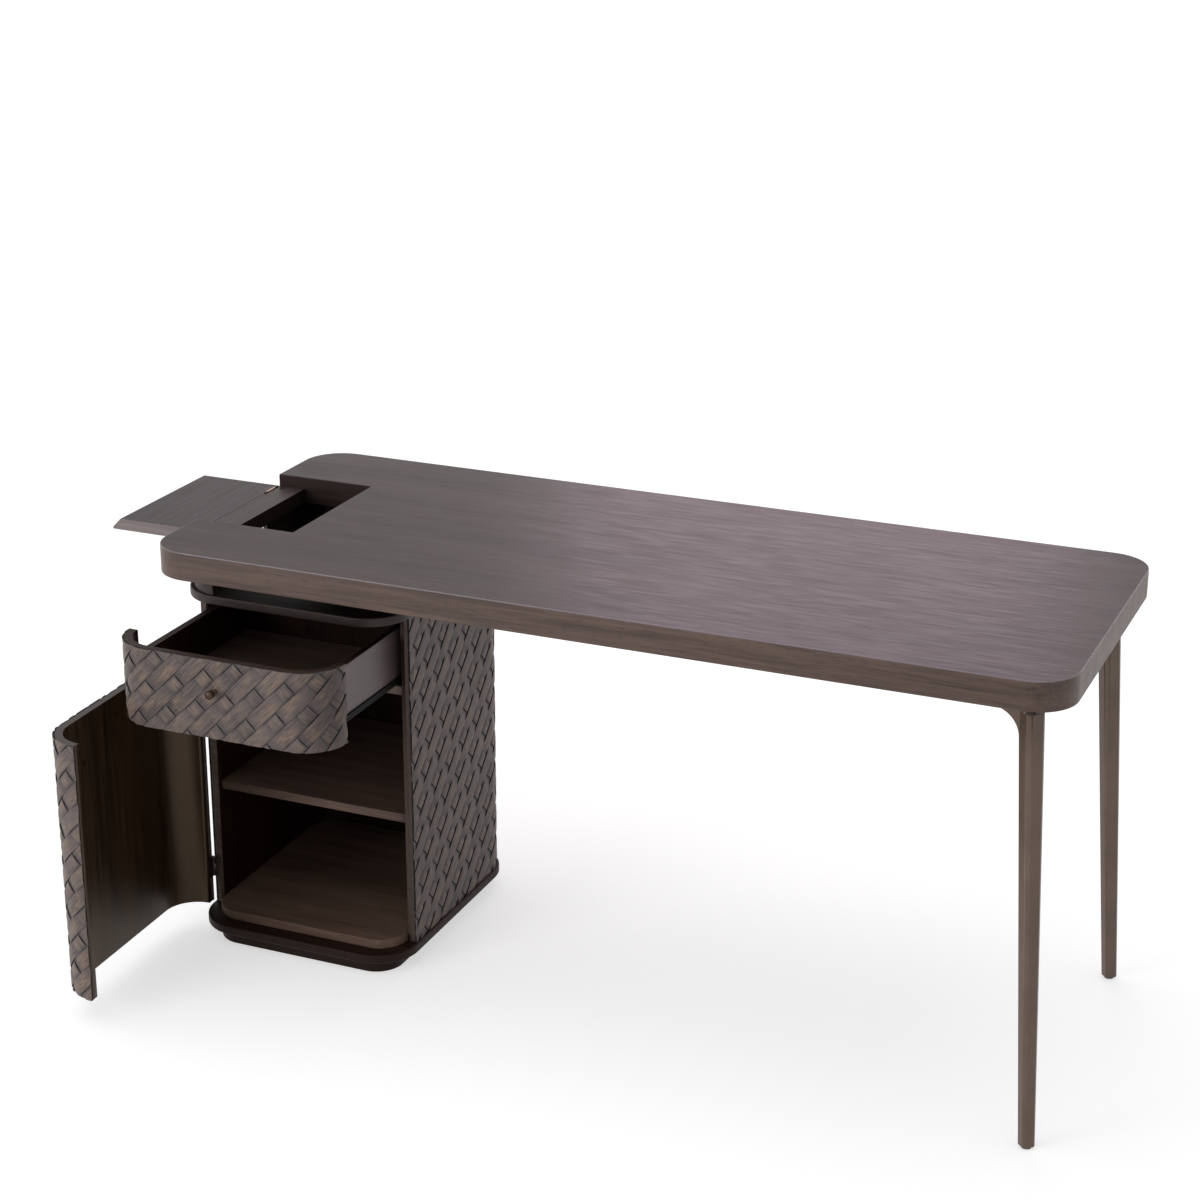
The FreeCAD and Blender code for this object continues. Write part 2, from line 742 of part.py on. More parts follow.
# Drawer, built closed and then drawn out
drawer = {}
front_y = (-half_depth, front_end_y)
front_x = (-half_width, half_width)
front_z = (drawer_front_bottom, drawer_front_top)
knob, screw, hole = knob_set(0, knob_height)
drawer["drawer_front_board"] = wall_piece(front_x, front_y, front_z).cut(hole)
drawer["drawer_front_weave"] = woven_facing(front_s, front_z, knob_height).cut(hole)
drawer["drawer_knob"] = knob
drawer["drawer_knob_screw"] = screw
box_z = (drawer_box_bottom, drawer_box_top)
box_x = drawer_box_half
box_inner_x = box_x - drawer_side_thickness
cavity = pedestal_plate(inner_inset + glue_line, box_z)
side_run = (drawer_front_y, drawer_rear_y)
drawer["drawer_left_side"] = box((-box_x, -box_inner_x), side_run, box_z).common(cavity)
drawer["drawer_right_side"] = box((box_inner_x, box_x), side_run, box_z).common(cavity)
back_y = (drawer_rear_y - drawer_side_thickness, drawer_rear_y)
drawer["drawer_back"] = box((-box_inner_x, box_inner_x), back_y, box_z)
bottom_low = drawer_box_bottom + drawer_bottom_lift
bottom_z = (bottom_low, bottom_low + drawer_bottom_thickness)
bottom_board = box((-box_inner_x, box_inner_x), (drawer_front_y, back_y[0]), bottom_z)
drawer["drawer_bottom"] = bottom_board.common(cavity)
for side_name, x_sign in (("left", -1), ("right", 1)):
    rail, runner = slide(x_sign)
    parts[side_name + "_slide_rail"] = rail
    drawer[side_name + "_slide_runner"] = runner
for name, shape in drawer.items():
    shape.translate(BACK * -drawer_rest_pull)
    parts[name] = shape

# Door, built closed and then swung open
door = {}
door_z = (door_bottom, door_top)
door_knob_x = (door_knob_step_along + door_knob_step_across) * weave_step
door_knob_z = knob_height + (door_knob_step_along - door_knob_step_across) * weave_step
knob, screw, hole = knob_set(door_knob_x, door_knob_z)
door["door_board"] = wall_piece(front_x, front_y, door_z).cut(hole)
door["door_weave"] = woven_facing(front_s, door_z, knob_height).cut(hole)
door["door_knob"] = knob
door["door_knob_screw"] = screw
door_leaf_gap = front_gap / 2 - door_leaf_thickness
frame_leaves = []
door_leaves = []
door_pins = []
for height in (door_bottom + door_hinge_inset, door_top - door_hinge_inset):
    hinge = butt_hinge(
        door_hinge_length, door_knuckle_radius, door_leaf_width, door_leaf_thickness, door_leaf_gap
    )
    for piece, group in zip(hinge, (frame_leaves, door_leaves, door_pins)):
        piece.translate(V(door_axis_x, door_axis_y, height - door_hinge_length / 2))
        group.append(piece)
parts["door_hinge_frame_leaves"] = Part.makeCompound(frame_leaves)
parts["door_hinge_pins"] = Part.makeCompound(door_pins)
door["door_hinge_door_leaves"] = Part.makeCompound(door_leaves)
for name, shape in door.items():
    shape.rotate(V(door_axis_x, door_axis_y, 0), UP, -door_open_angle)
    parts[name] = shape

# Cable rail and flap; the flap is built closed and then turned over
flap_edge_x = flap_axis_x + flap_axis_gap
flap_low = flap_axis_z + flap_seat_gap
flap_high = flap_low + flap_thickness
bevel = flap_thickness - flap_lip
flap_end_x = notch_end_x - flap_end_slot
flap_front_y = slab_centre_y - flap_width / 2
flap_outline = [
    V(flap_edge_x, flap_front_y, flap_low),
    V(flap_end_x - bevel, flap_front_y, flap_low),
    V(flap_end_x, flap_front_y, flap_high - flap_lip),
    V(flap_end_x, flap_front_y, flap_high),
    V(flap_edge_x, flap_front_y, flap_high),
]
flap = Part.Face(Part.makePolygon(flap_outline + flap_outline[:1])).extrude(BACK * flap_width)
rail = box(
    (slab_left, slab_left + rail_width),
    (slab_centre_y - notch_width / 2, slab_centre_y + notch_width / 2),
    (slab_bottom, rail_top),
)
rail_leaves = []
flap_leaves = []
flap_pins = []
leaf_gap = flap_seat_gap + flap_leaf_recess
mortise_x = (flap_axis_x, flap_axis_x + flap_knuckle_radius + hinge_play + flap_leaf_width + pin_fit)
mortise_low = flap_axis_z - leaf_gap - flap_leaf_thickness
mortise_high = flap_axis_z + leaf_gap + flap_leaf_thickness
barrel_length = flap_hinge_length + hinge_pin_head + 2 * hinge_play
flap_hinge_reach = flap_width / 2 - flap_hinge_inset
for y in (slab_centre_y - flap_hinge_reach, slab_centre_y + flap_hinge_reach):
    hinge = butt_hinge(
        flap_hinge_length, flap_knuckle_radius, flap_leaf_width, flap_leaf_thickness, leaf_gap
    )
    start = V(flap_axis_x, y - flap_hinge_length / 2, flap_axis_z)
    for piece, group in zip(hinge, (rail_leaves, flap_leaves, flap_pins)):
        piece.rotate(V(0, 0, 0), ALONG, -90)
        piece.translate(start)
        group.append(piece)
    mortise_y = (start.y - pin_fit, start.y + flap_hinge_length + pin_fit)
    barrel = cylinder(flap_knuckle_radius + hinge_play, start - BACK * hinge_play, BACK, barrel_length)
    rail = rail.cut([barrel, box(mortise_x, mortise_y, (mortise_low, flap_axis_z))])
    flap = flap.cut([barrel, box(mortise_x, mortise_y, (flap_axis_z, mortise_high))])
parts["cable_bay_rail"] = rail
parts["flap_hinge_rail_leaves"] = Part.makeCompound(rail_leaves)
parts["flap_hinge_pins"] = Part.makeCompound(flap_pins)
flap_pieces = {"cable_flap": flap, "flap_hinge_flap_leaves": Part.makeCompound(flap_leaves)}
for name, shape in flap_pieces.items():
    shape.rotate(V(flap_axis_x, 0, flap_axis_z), BACK, -flap_open_angle)
    parts[name] = shape

# Legs and their fixings
parts["front_leg"] = front_leg_shape()
parts["rear_leg"] = mirrored_to_rear(parts["front_leg"])
front_bolts = [leg_bolt(place) for place in bolt_places(-1)]
parts["leg_bolts"] = Part.makeCompound(front_bolts + [leg_bolt(place) for place in bolt_places(1)])
glide = cylinder(glide_radius, V(leg_foot_x, leg_foot_y, 0), UP, glide_thickness)
parts["leg_glides"] = Part.makeCompound([glide, mirrored_to_rear(glide)])

os.makedirs("parts", exist_ok=True)
for name, shape in parts.items():
    shape.exportStep("parts/" + name + ".step")
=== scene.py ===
"""Looks of a pedestal writing desk: woven wooden walls, satin top and bronze legs round the CAD frame."""

import json
import logging
import math
import random
from dataclasses import dataclass, field
from enum import Enum, IntEnum
from typing import Any, Iterator, Optional, Sequence

import bmesh
import bpy
from mathutils import Matrix, Vector


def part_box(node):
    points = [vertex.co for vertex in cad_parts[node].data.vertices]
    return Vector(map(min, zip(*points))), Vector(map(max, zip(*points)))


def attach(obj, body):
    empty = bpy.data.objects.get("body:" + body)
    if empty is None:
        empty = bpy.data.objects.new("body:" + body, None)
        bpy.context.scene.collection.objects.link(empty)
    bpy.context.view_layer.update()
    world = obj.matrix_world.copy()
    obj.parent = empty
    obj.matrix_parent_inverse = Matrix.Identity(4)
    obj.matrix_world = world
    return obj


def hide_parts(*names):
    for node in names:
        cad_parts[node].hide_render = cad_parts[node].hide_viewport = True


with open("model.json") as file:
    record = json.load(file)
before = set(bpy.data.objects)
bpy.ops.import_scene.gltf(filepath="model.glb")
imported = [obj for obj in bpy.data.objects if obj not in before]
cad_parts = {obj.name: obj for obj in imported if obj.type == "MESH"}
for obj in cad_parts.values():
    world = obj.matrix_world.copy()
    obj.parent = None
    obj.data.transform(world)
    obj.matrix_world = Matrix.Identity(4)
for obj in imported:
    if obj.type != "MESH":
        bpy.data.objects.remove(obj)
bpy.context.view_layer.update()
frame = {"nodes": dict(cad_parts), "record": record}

MM = 0.001
LOG = logging.getLogger("desk")

Colour = tuple[float, float, float]
Place = tuple[float, float, float]
Range = tuple[float, float]
Socket = bpy.types.NodeSocket
Ring = list[bmesh.types.BMVert]

FULL: Range = (0.0, 1.0)
NOISE_CORE: Range = (0.36, 0.64)
NOISE_BODY: Range = (0.3, 0.7)
WHITE: Colour = (1.0, 1.0, 1.0)
FLAP_HINGE_Y: Range = (-120.0 * MM, 94.0 * MM)


class Grain(Enum):
    """Axis of the row frame that a board's grain or thickness runs along."""

    ALONG = 0
    BACK = 1
    UP = 2


class Heading(Enum):
    """Way that a face looks, in the row frame."""

    RIGHT = (1.0, 0.0, 0.0)
    LEFT = (-1.0, 0.0, 0.0)
    FRONT = (0.0, -1.0, 0.0)
    DOWN = (0.0, 0.0, -1.0)


class BoardSlot(IntEnum):
    """Material slots of an eased board's faces; the last is for faces with a finish of their own."""

    FLAT = 0
    SIDE = 1
    UPPER_EDGE = 2
    OWN = 3


class Nodes:
    """A node tree, with short calls that add and join nodes."""

    MIX_SHARE, MIX_FIRST, MIX_SECOND, MIX_RESULT = 0, 6, 7, 2

    def __init__(self, tree: bpy.types.NodeTree) -> None:
        """Takes up a tree.

        Args:
            tree: the node tree to add to.
        """
        self.tree = tree

    def join(self, value: Any, socket: Socket) -> None:
        """Links an output socket to an input, or sets the input to a value.

        Args:
            value: the output socket or the value.
            socket: the input.
        """
        if isinstance(value, Socket):
            self.tree.links.new(value, socket)
        else:
            socket.default_value = value

    def add(self, kind: str, sockets: Optional[dict[Any, Any]] = None, **settings: Any) -> bpy.types.Node:
        """Adds a node, sets its properties, and sets or joins its input sockets.

        Args:
            kind: Blender's name for the node type.
            sockets: values or output sockets by input name or number.
            settings: properties of the node itself.

        Returns:
            The new node.
        """
        node = self.tree.nodes.new(kind)
        for name, value in settings.items():
            setattr(node, name, value)
        for key, value in (sockets or {}).items():
            self.join(value, node.inputs[key])
        return node

    def noise(self, vector: Socket, scale: Sequence[float], detail: float = 2.0,
              distortion: float = 0.0) -> Socket:
        """Noise stretched by a scale for each axis.

        Args:
            vector: coordinates in metres.
            scale: features per metre along x, y and z.
            detail: octaves.
            distortion: how far the noise bends its own coordinates.

        Returns:
            The noise's value, 0 to 1.
        """
        stretched = self.add("ShaderNodeMapping", {"Vector": vector, "Scale": scale})
        node = self.add("ShaderNodeTexNoise", {
            "Vector": stretched.outputs["Vector"], "Scale": 1.0, "Detail": detail, "Distortion": distortion,
        })
        return node.outputs["Fac"]

    def span(self, value: Socket, source: Range, target: Range = FULL) -> Socket:
        """Maps one range to another, held at the ends.

        Args:
            value: the socket to map.
            source: its range.
            target: the range wanted.

        Returns:
            The mapped socket.
        """
        node = self.add("ShaderNodeMapRange", {
            "Value": value, "From Min": source[0], "From Max": source[1],
            "To Min": target[0], "To Max": target[1],
        })
        return node.outputs["Result"]

    def reckon(self, operation: str, first: Any, second: Any) -> Socket:
        """Sum, product and the like of two values.

        Args:
            operation: Blender's name of the operation.
            first: a number or socket.
            second: a number or socket.

        Returns:
            The result's socket.
        """
        return self.add("ShaderNodeMath", {0: first, 1: second}, operation=operation).outputs[0]

    def weigh(self, *parts: tuple[Socket, float]) -> Socket:
        """Sum of values, each times its share.

        Args:
            parts: the values' sockets and their shares.

        Returns:
            The sum's socket.
        """
        total, *others = [self.reckon("MULTIPLY", value, share) for value, share in parts]
        for other in others:
            total = self.reckon("ADD", total, other)
        return total

    def mix(self, share: Any, first: Any, second: Any) -> Socket:
        """Mixes two colours.

        Args:
            share: how much of the second, 0 to 1.
            first: colour or socket.
            second: colour or socket.

        Returns:
            The mixed colour's socket.
        """
        def solid(value: Any) -> Any:
            """A colour with its alpha, or a socket as it is."""
            return value if isinstance(value, Socket) else (*value, 1.0)

        sockets = {self.MIX_SHARE: share, self.MIX_FIRST: solid(first), self.MIX_SECOND: solid(second)}
        return self.add("ShaderNodeMix", sockets, data_type="RGBA").outputs[self.MIX_RESULT]


class Shader(Nodes):
    """The node tree of a finish's material, round one principled shader."""

    EDGE_SAMPLES = 6

    def __init__(self, name: str) -> None:
        """Starts the material.

        Args:
            name: the material's name.
        """
        self.material = bpy.data.materials.new(name)
        self.material.use_nodes = True
        super().__init__(self.material.node_tree)
        self.tree.nodes.clear()
        self.surface = self.add("ShaderNodeBsdfPrincipled")
        self.add("ShaderNodeOutputMaterial", {"Surface": self.surface.outputs["BSDF"]})

    def place(self) -> Socket:
        """Coordinates in the row frame, in metres."""
        return self.add("ShaderNodeTexCoord").outputs["Object"]

    def mark(self, name: str) -> Socket:
        """A mark that the mesh holds under a name."""
        return self.add("ShaderNodeAttribute", attribute_name=name).outputs["Fac"]

    def feed(self, **sockets: Any) -> None:
        """Sets or joins the principled shader's sockets, named with _ for a space.

        Args:
            sockets: values or output sockets.
        """
        for name, value in sockets.items():
            self.join(value, self.surface.inputs[name.replace("_", " ")])

    def bump(self, height: Socket, strength: float, distance: float, edge: float = 0.0) -> None:
        """Adds a fine relief to the surface's normal.

        Args:
            height: the relief, 0 to 1.
            strength: how much of it shows.
            distance: its height in metres.
            edge: radius to which sharp edges look rounded, 0 for none.
        """
        sockets = {"Height": height, "Strength": strength, "Distance": distance}
        if edge:
            rounded = self.add("ShaderNodeBevel", {"Radius": edge}, samples=self.EDGE_SAMPLES)
            sockets["Normal"] = rounded.outputs["Normal"]
        self.feed(Normal=self.add("ShaderNodeBump", sockets).outputs["Normal"])


@dataclass(frozen=True)
class WoodFinish:
    """Stained, open-pored wood under a satin lacquer."""

    name: str
    dark: Colour
    light: Colour
    pore: Colour
    grain: Grain
    roughness: float = 0.42
    pore_depth: float = 0.55
    gloss: float = 0.5
    edge: float = 0.0
    gloss_tint: Colour = WHITE
    length: float = 1.0

    # Features per metre along and across the grain.
    BANDS, STREAKS, FIBRES, PORES = (1.6, 26.0), (7.0, 190.0), (22.0, 900.0), (45.0, 1300.0)
    BAND_SHARE, STREAK_SHARE, FIBRE_SHARE = 0.45, 0.35, 0.20
    PORE_CORE = (0.60, 0.72)
    SMOOTHER, ROUGHER = -0.05, 0.07
    FIBRE_RISE, PORE_RISE = 0.4, -0.6
    RELIEF, RELIEF_HEIGHT = 0.12, 0.4 * MM

    def stretched(self, feature: Range) -> list[float]:
        """Scale of a grain feature for each axis.

        Args:
            feature: its count per metre along and across the grain.

        Returns:
            Its count per metre along x, y and z.
        """
        along, across = feature
        scale = [across] * 3
        scale[self.grain.value] = along / self.length
        return scale

    def material(self) -> bpy.types.Material:
        """Builds the wood: wide bands, streaks, fibres and short dark pores.

        Returns:
            The material.
        """
        shader = Shader(self.name)
        place = shader.place()
        bands = shader.noise(place, self.stretched(self.BANDS), detail=3.0, distortion=0.4)
        streaks = shader.noise(place, self.stretched(self.STREAKS))
        fibres = shader.noise(place, self.stretched(self.FIBRES))
        pores = shader.span(shader.noise(place, self.stretched(self.PORES), detail=1.0), self.PORE_CORE)
        tone = shader.weigh(
            (bands, self.BAND_SHARE), (streaks, self.STREAK_SHARE), (fibres, self.FIBRE_SHARE))
        colour = shader.mix(shader.span(tone, NOISE_CORE), self.dark, self.light)
        colour = shader.mix(shader.reckon("MULTIPLY", pores, self.pore_depth), colour, self.pore)
        gloss_range = (self.roughness + self.SMOOTHER, self.roughness + self.ROUGHER)
        shader.feed(
            Base_Color=colour,
            Roughness=shader.span(streaks, NOISE_BODY, gloss_range),
            Specular_IOR_Level=self.gloss,
            Specular_Tint=(*self.gloss_tint, 1.0),
        )
        relief = shader.weigh((fibres, self.FIBRE_RISE), (pores, self.PORE_RISE))
        shader.bump(relief, self.RELIEF, self.RELIEF_HEIGHT, self.edge)
        return shader.material


@dataclass(frozen=True)
class WovenFinish:
    """Carved strips: grain along each strip, crests lighter from wear and a painted highlight, cool glaze at
    the rims and grooves darkened by painted shade.
    """

    name: str
    dark: Colour
    light: Colour
    crest_wear_and_highlight: Colour
    glaze: Colour
    # groove: near-black painted shade on the strips' side walls.
    groove: Colour
    roughness: float = 0.50
    gloss: float = 0.30
    groove_roughness: float = 0.8

    # Features per metre along and across a strip.
    STREAKS, FIBRES, WEAR = (18.0, 210.0, 1.0), (60.0, 620.0, 1.0), (24.0, 60.0, 1.0)
    STREAK_SHARE, FIBRE_SHARE, STRIP_SHARE = 0.50, 0.38, 0.12
    CREST_CORE, WEAR_CORE, FIBRE_CORE = (0.35, 1.0), (0.38, 0.66), (0.40, 0.60)
    CREST_WEAR, FIBRE_WEAR, RIM_GLAZE = (0.0, 0.95), (0.15, 1.0), (0.30, 0.65)
    RELIEF, RELIEF_HEIGHT = 0.15, 0.4 * MM

    def material(self) -> bpy.types.Material:
        """Builds the woven wood from the strips' own coordinates and marks.

        Returns:
            The material.
        """
        shader = Shader(self.name)
        along = shader.add("ShaderNodeUVMap", uv_map="strip").outputs["UV"]
        groove, height, strip_tone, wall = map(shader.mark, ("groove", "height", "tone", "wall"))
        streaks = shader.noise(along, self.STREAKS, detail=4.0, distortion=0.6)
        fibres = shader.noise(along, self.FIBRES, detail=3.0, distortion=0.6)
        wear = shader.noise(along, self.WEAR, detail=3.0)
        tone = shader.weigh(
            (streaks, self.STREAK_SHARE), (fibres, self.FIBRE_SHARE), (strip_tone, self.STRIP_SHARE))
        colour = shader.mix(shader.span(tone, NOISE_CORE), self.dark, self.light)
        # Crests lighter by height: partly wear, partly a painted highlight where the raised strips catch the
        # light.
        crest_patches = shader.span(wear, self.WEAR_CORE, self.CREST_WEAR)
        crest = shader.reckon("MULTIPLY", shader.span(height, self.CREST_CORE), crest_patches)
        crest = shader.reckon("MULTIPLY", crest, shader.span(fibres, self.FIBRE_CORE, self.FIBRE_WEAR))
        colour = shader.mix(crest, colour, self.crest_wear_and_highlight)
        rim = shader.reckon("MULTIPLY", groove, shader.span(wear, NOISE_BODY, self.RIM_GLAZE))
        colour = shader.mix(rim, colour, self.glaze)
        # The strips' side walls take the near-black groove colour, painted shade in the steps between
        # strips.
        shader.feed(
            Base_Color=shader.mix(wall, colour, self.groove),
            Roughness=shader.span(wall, FULL, (self.roughness, self.groove_roughness)),
            Specular_IOR_Level=self.gloss,
        )
        shader.bump(fibres, self.RELIEF, self.RELIEF_HEIGHT)
        return shader.material


@dataclass(frozen=True)
class MetalFinish:
    """Brushed, stained or plated metal with a fine lengthwise lay."""

    name: str
    dark: Colour
    light: Colour
    roughness: float
    metallic: float
    lay: Grain = Grain.UP
    edge: float = 0.0
    gloss: float = 0.5

    # Features per metre: brush lines across and along the lay, and clouds.
    BRUSH_ACROSS, BRUSH_ALONG, CLOUDS = 1400.0, 12.0, 18.0
    BRUSH_SHARE, CLOUD_SHARE = 0.4, 0.6
    SMOOTHER, ROUGHER = -0.05, 0.08
    RELIEF, RELIEF_HEIGHT = 0.08, 0.1 * MM

    def material(self) -> bpy.types.Material:
        """Builds the metal: brush lines, cloudy tone and uneven gloss.

        Returns:
            The material.
        """
        shader = Shader(self.name)
        place = shader.place()
        scale = [self.BRUSH_ACROSS] * 3
        scale[self.lay.value] = self.BRUSH_ALONG
        lines = shader.noise(place, scale)
        clouds = shader.noise(place, [self.CLOUDS] * 3, detail=3.0)
        tone = shader.weigh((lines, self.BRUSH_SHARE), (clouds, self.CLOUD_SHARE))
        gloss_range = (self.roughness + self.SMOOTHER, self.roughness + self.ROUGHER)
        shader.feed(
            Base_Color=shader.mix(shader.span(tone, NOISE_CORE), self.dark, self.light),
            Roughness=shader.span(tone, NOISE_BODY, gloss_range),
            Metallic=self.metallic,
            Specular_IOR_Level=self.gloss,
        )
        shader.bump(lines, self.RELIEF, self.RELIEF_HEIGHT, self.edge)
        return shader.material


@dataclass(frozen=True)
class PlasticFinish:
    """Moulded plastic with a fine matt texture."""

    name: str
    colour: Colour
    roughness: float = 0.6
    uneven: float = 0.06
    paler: float = 1.6

    SPECKS = 900.0
    RELIEF, RELIEF_HEIGHT = 0.1, 0.1 * MM

    def material(self) -> bpy.types.Material:
        """Builds the plastic.

        Returns:
            The material.
        """
        shader = Shader(self.name)
        texture = shader.noise(shader.place(), [self.SPECKS] * 3)
        pale = tuple(self.paler * channel for channel in self.colour)
        gloss_range = (self.roughness - self.uneven, self.roughness + self.uneven)
        shader.feed(
            Base_Color=shader.mix(texture, self.colour, pale),
            Roughness=shader.span(texture, NOISE_BODY, gloss_range),
        )
        shader.bump(texture, self.RELIEF, self.RELIEF_HEIGHT)
        return shader.material


# Each wood: its dark and light tones, its pores' colour, and the way its grain runs.
TOP_VENEER = WoodFinish(
    "top_veneer", (0.019, 0.010, 0.009), (0.062, 0.037, 0.034), (0.010, 0.006, 0.005), Grain.ALONG,
    roughness=0.36, pore_depth=0.6, gloss=0.15, length=0.42)
TOP_EDGE = WoodFinish(
    "top_edge", (0.048, 0.027, 0.021), (0.168, 0.105, 0.083), (0.018, 0.011, 0.009), Grain.ALONG,
    roughness=0.44, pore_depth=0.7, gloss=0.4)
# Painted shade: the slab's edge wood made darker for the faces inside the cable notch.
NOTCH_WOOD_PAINTED_SHADE = WoodFinish(
    "notch_wood_painted_shade", (0.022, 0.014, 0.012), (0.052, 0.034, 0.030), (0.010, 0.006, 0.005), Grain.ALONG,
    roughness=0.48, pore_depth=0.5, gloss=0.2)
# Painted highlight: a pale colour on the slab's rounded upper edge, in place of the lamp's reflection along
# it.
TOP_ARRIS_PAINTED_HIGHLIGHT = WoodFinish(
    "top_arris_painted_highlight", (0.13, 0.09, 0.11), (0.19, 0.14, 0.16), (0.08, 0.05, 0.06), Grain.ALONG,
    roughness=0.28, pore_depth=0.2, gloss=0.7)
# Painted highlight: much paler than the flap's wood, for the light that the flap's front faces catch.
FLAP_FRONT_PAINTED_HIGHLIGHT = WoodFinish(
    "flap_bevel_painted_highlight", (0.175, 0.135, 0.135), (0.285, 0.228, 0.228), (0.085, 0.064, 0.064), Grain.ALONG,
    roughness=0.40, pore_depth=0.35)
# Painted light: a paler copy of the carcass wood for front edges that catch the light.
PAINTED_LIGHT_EDGE = WoodFinish(
    "painted_light_edge", (0.160, 0.112, 0.093), (0.290, 0.210, 0.176), (0.070, 0.048, 0.040), Grain.UP,
    roughness=0.45, gloss=0.35)
FLAP_WOOD = WoodFinish(
    "flap_wood", (0.022, 0.014, 0.015), (0.052, 0.034, 0.035), (0.012, 0.007, 0.007), Grain.BACK,
    roughness=0.45, pore_depth=0.35, gloss=0.25, edge=1.2 * MM)
# Painted shade: the carcass wood made near-black for the pedestal's dark inside.
CARCASS_UP_PAINTED_SHADE = WoodFinish(
    "carcass_upright_painted_shade", (0.010, 0.004, 0.002), (0.028, 0.011, 0.006), (0.005, 0.002, 0.001), Grain.UP,
    roughness=0.45, gloss=0.15)
# Painted shade: a near-black base for the door's shaded inside; its bright band comes from the real
# reflection.
DOOR_INSIDE_PAINTED_SHADE = WoodFinish(
    "door_inside_painted_shade", (0.006, 0.002, 0.001), (0.036, 0.017, 0.006), (0.003, 0.001, 0.001), Grain.UP,
    roughness=0.38, pore_depth=0.75, gloss_tint=(1.0, 0.76, 0.56))
CARCASS_ALONG = WoodFinish(
    "carcass_level", (0.022, 0.014, 0.012), (0.046, 0.030, 0.026), (0.010, 0.006, 0.005), Grain.ALONG,
    roughness=0.45, gloss=0.3)
# Painted shade: near-black, low-gloss wood for the pedestal's top, the neck and the rail's inner face, which
# lie in deep shade.
PAINTED_SHADE_WOOD = WoodFinish(
    "painted_shade_wood", (0.007, 0.004, 0.003), (0.016, 0.009, 0.007), (0.004, 0.002, 0.002), Grain.ALONG,
    roughness=0.60, pore_depth=0.4, gloss=0.10)
# Painted shade: near-black wood for the shaded plinth and the drawer's top edges.
PLINTH_WOOD_PAINTED_SHADE = WoodFinish(
    "plinth_wood", (0.012, 0.005, 0.003), (0.028, 0.013, 0.009), (0.006, 0.003, 0.002), Grain.ALONG,
    roughness=0.50, pore_depth=0.5, gloss=0.14)
INNER_ALONG = WoodFinish(
    "inner_level", (0.100, 0.062, 0.048), (0.215, 0.142, 0.114), (0.038, 0.024, 0.018), Grain.ALONG,
    roughness=0.50, gloss=0.25)
# Painted light: a paler copy of the inner wood, so the floor board in the shaded compartment shows lit.
FLOOR_WOOD_PAINTED_LIGHT = WoodFinish(
    "floor_wood_painted_light", (0.118, 0.072, 0.052), (0.248, 0.161, 0.122), (0.042, 0.026, 0.019), Grain.ALONG,
    roughness=0.50, gloss=0.25)
INNER_BACK = WoodFinish(
    "inner_deep", (0.100, 0.068, 0.070), (0.158, 0.114, 0.116), (0.030, 0.021, 0.020), Grain.BACK)
# The woven wood: its crest colour is partly wear and partly painted highlight; its groove colour on the
# strips' side walls is painted shade.
WOVEN = WovenFinish(
    "woven_strips", dark=(0.072, 0.057, 0.056), light=(0.176, 0.136, 0.128), crest_wear_and_highlight=(0.285, 0.196, 0.138),
    glaze=(0.056, 0.055, 0.066), groove=(0.004, 0.003, 0.003))
LEG_BRONZE = MetalFinish(
    "leg_bronze", (0.125, 0.082, 0.058), (0.168, 0.114, 0.084), roughness=0.34, metallic=0.20)
KNOB_BRONZE = MetalFinish(
    "knob_bronze", (0.036, 0.019, 0.015), (0.062, 0.034, 0.026), roughness=0.32, metallic=0.70,
    lay=Grain.BACK, edge=0.6 * MM)
HINGE_COPPER = MetalFinish(
    "hinge_copper", (0.46, 0.31, 0.26), (0.60, 0.43, 0.37), roughness=0.30, metallic=0.95, edge=0.4 * MM)
HINGE_BRONZE = MetalFinish(
    "hinge_bronze", (0.030, 0.021, 0.017), (0.055, 0.040, 0.033), roughness=0.38, metallic=0.85,
    edge=0.4 * MM)
DARK_SCREW = MetalFinish(
    "dark_screw", (0.010, 0.007, 0.005), (0.018, 0.012, 0.009), roughness=0.45, metallic=0.50, gloss=0.2)
# Painted shade: zinc-plated runners made near-black for the shade inside the pedestal.
SLIDE_STEEL_PAINTED_SHADE = MetalFinish(
    "slide_steel", (0.006, 0.006, 0.006), (0.012, 0.012, 0.012), roughness=0.62, metallic=0.30,
    lay=Grain.BACK, gloss=0.12)
FIXING_STEEL = MetalFinish(
    "fixing_steel", (0.20, 0.18, 0.17), (0.30, 0.28, 0.26), roughness=0.36, metallic=0.95)
GLIDE_PLASTIC = PlasticFinish("glide_plastic", (0.012, 0.012, 0.012))

Finish = WoodFinish | WovenFinish | MetalFinish | PlasticFinish


class Paint:
    """Hands out one material for each finish."""

    _made: dict[str, bpy.types.Material] = {}

    @classmethod
    def of(cls, finish: Finish) -> bpy.types.Material:
        """The finish's material, built at its first use.

        Args:
            finish: the finish wanted.

        Returns:
            The material.
        """
        if finish.name not in cls._made:
            cls._made[finish.name] = finish.material()
        return cls._made[finish.name]


def body_of_node(node: str) -> str:
    """The body that a CAD node rides on."""
    bodies = frame["record"]["behaviour"]["bodies"]
    return next(body for body, nodes in bodies.items() if node in nodes)


def put_in_scene(name: str, data: bpy.types.ID) -> bpy.types.Object:
    """Links a new object to the scene.

    Args:
        name: the object's name.
        data: its mesh, lamp or camera.

    Returns:
        The object.
    """
    made = bpy.data.objects.new(name, data)
    bpy.context.scene.collection.objects.link(made)
    return made


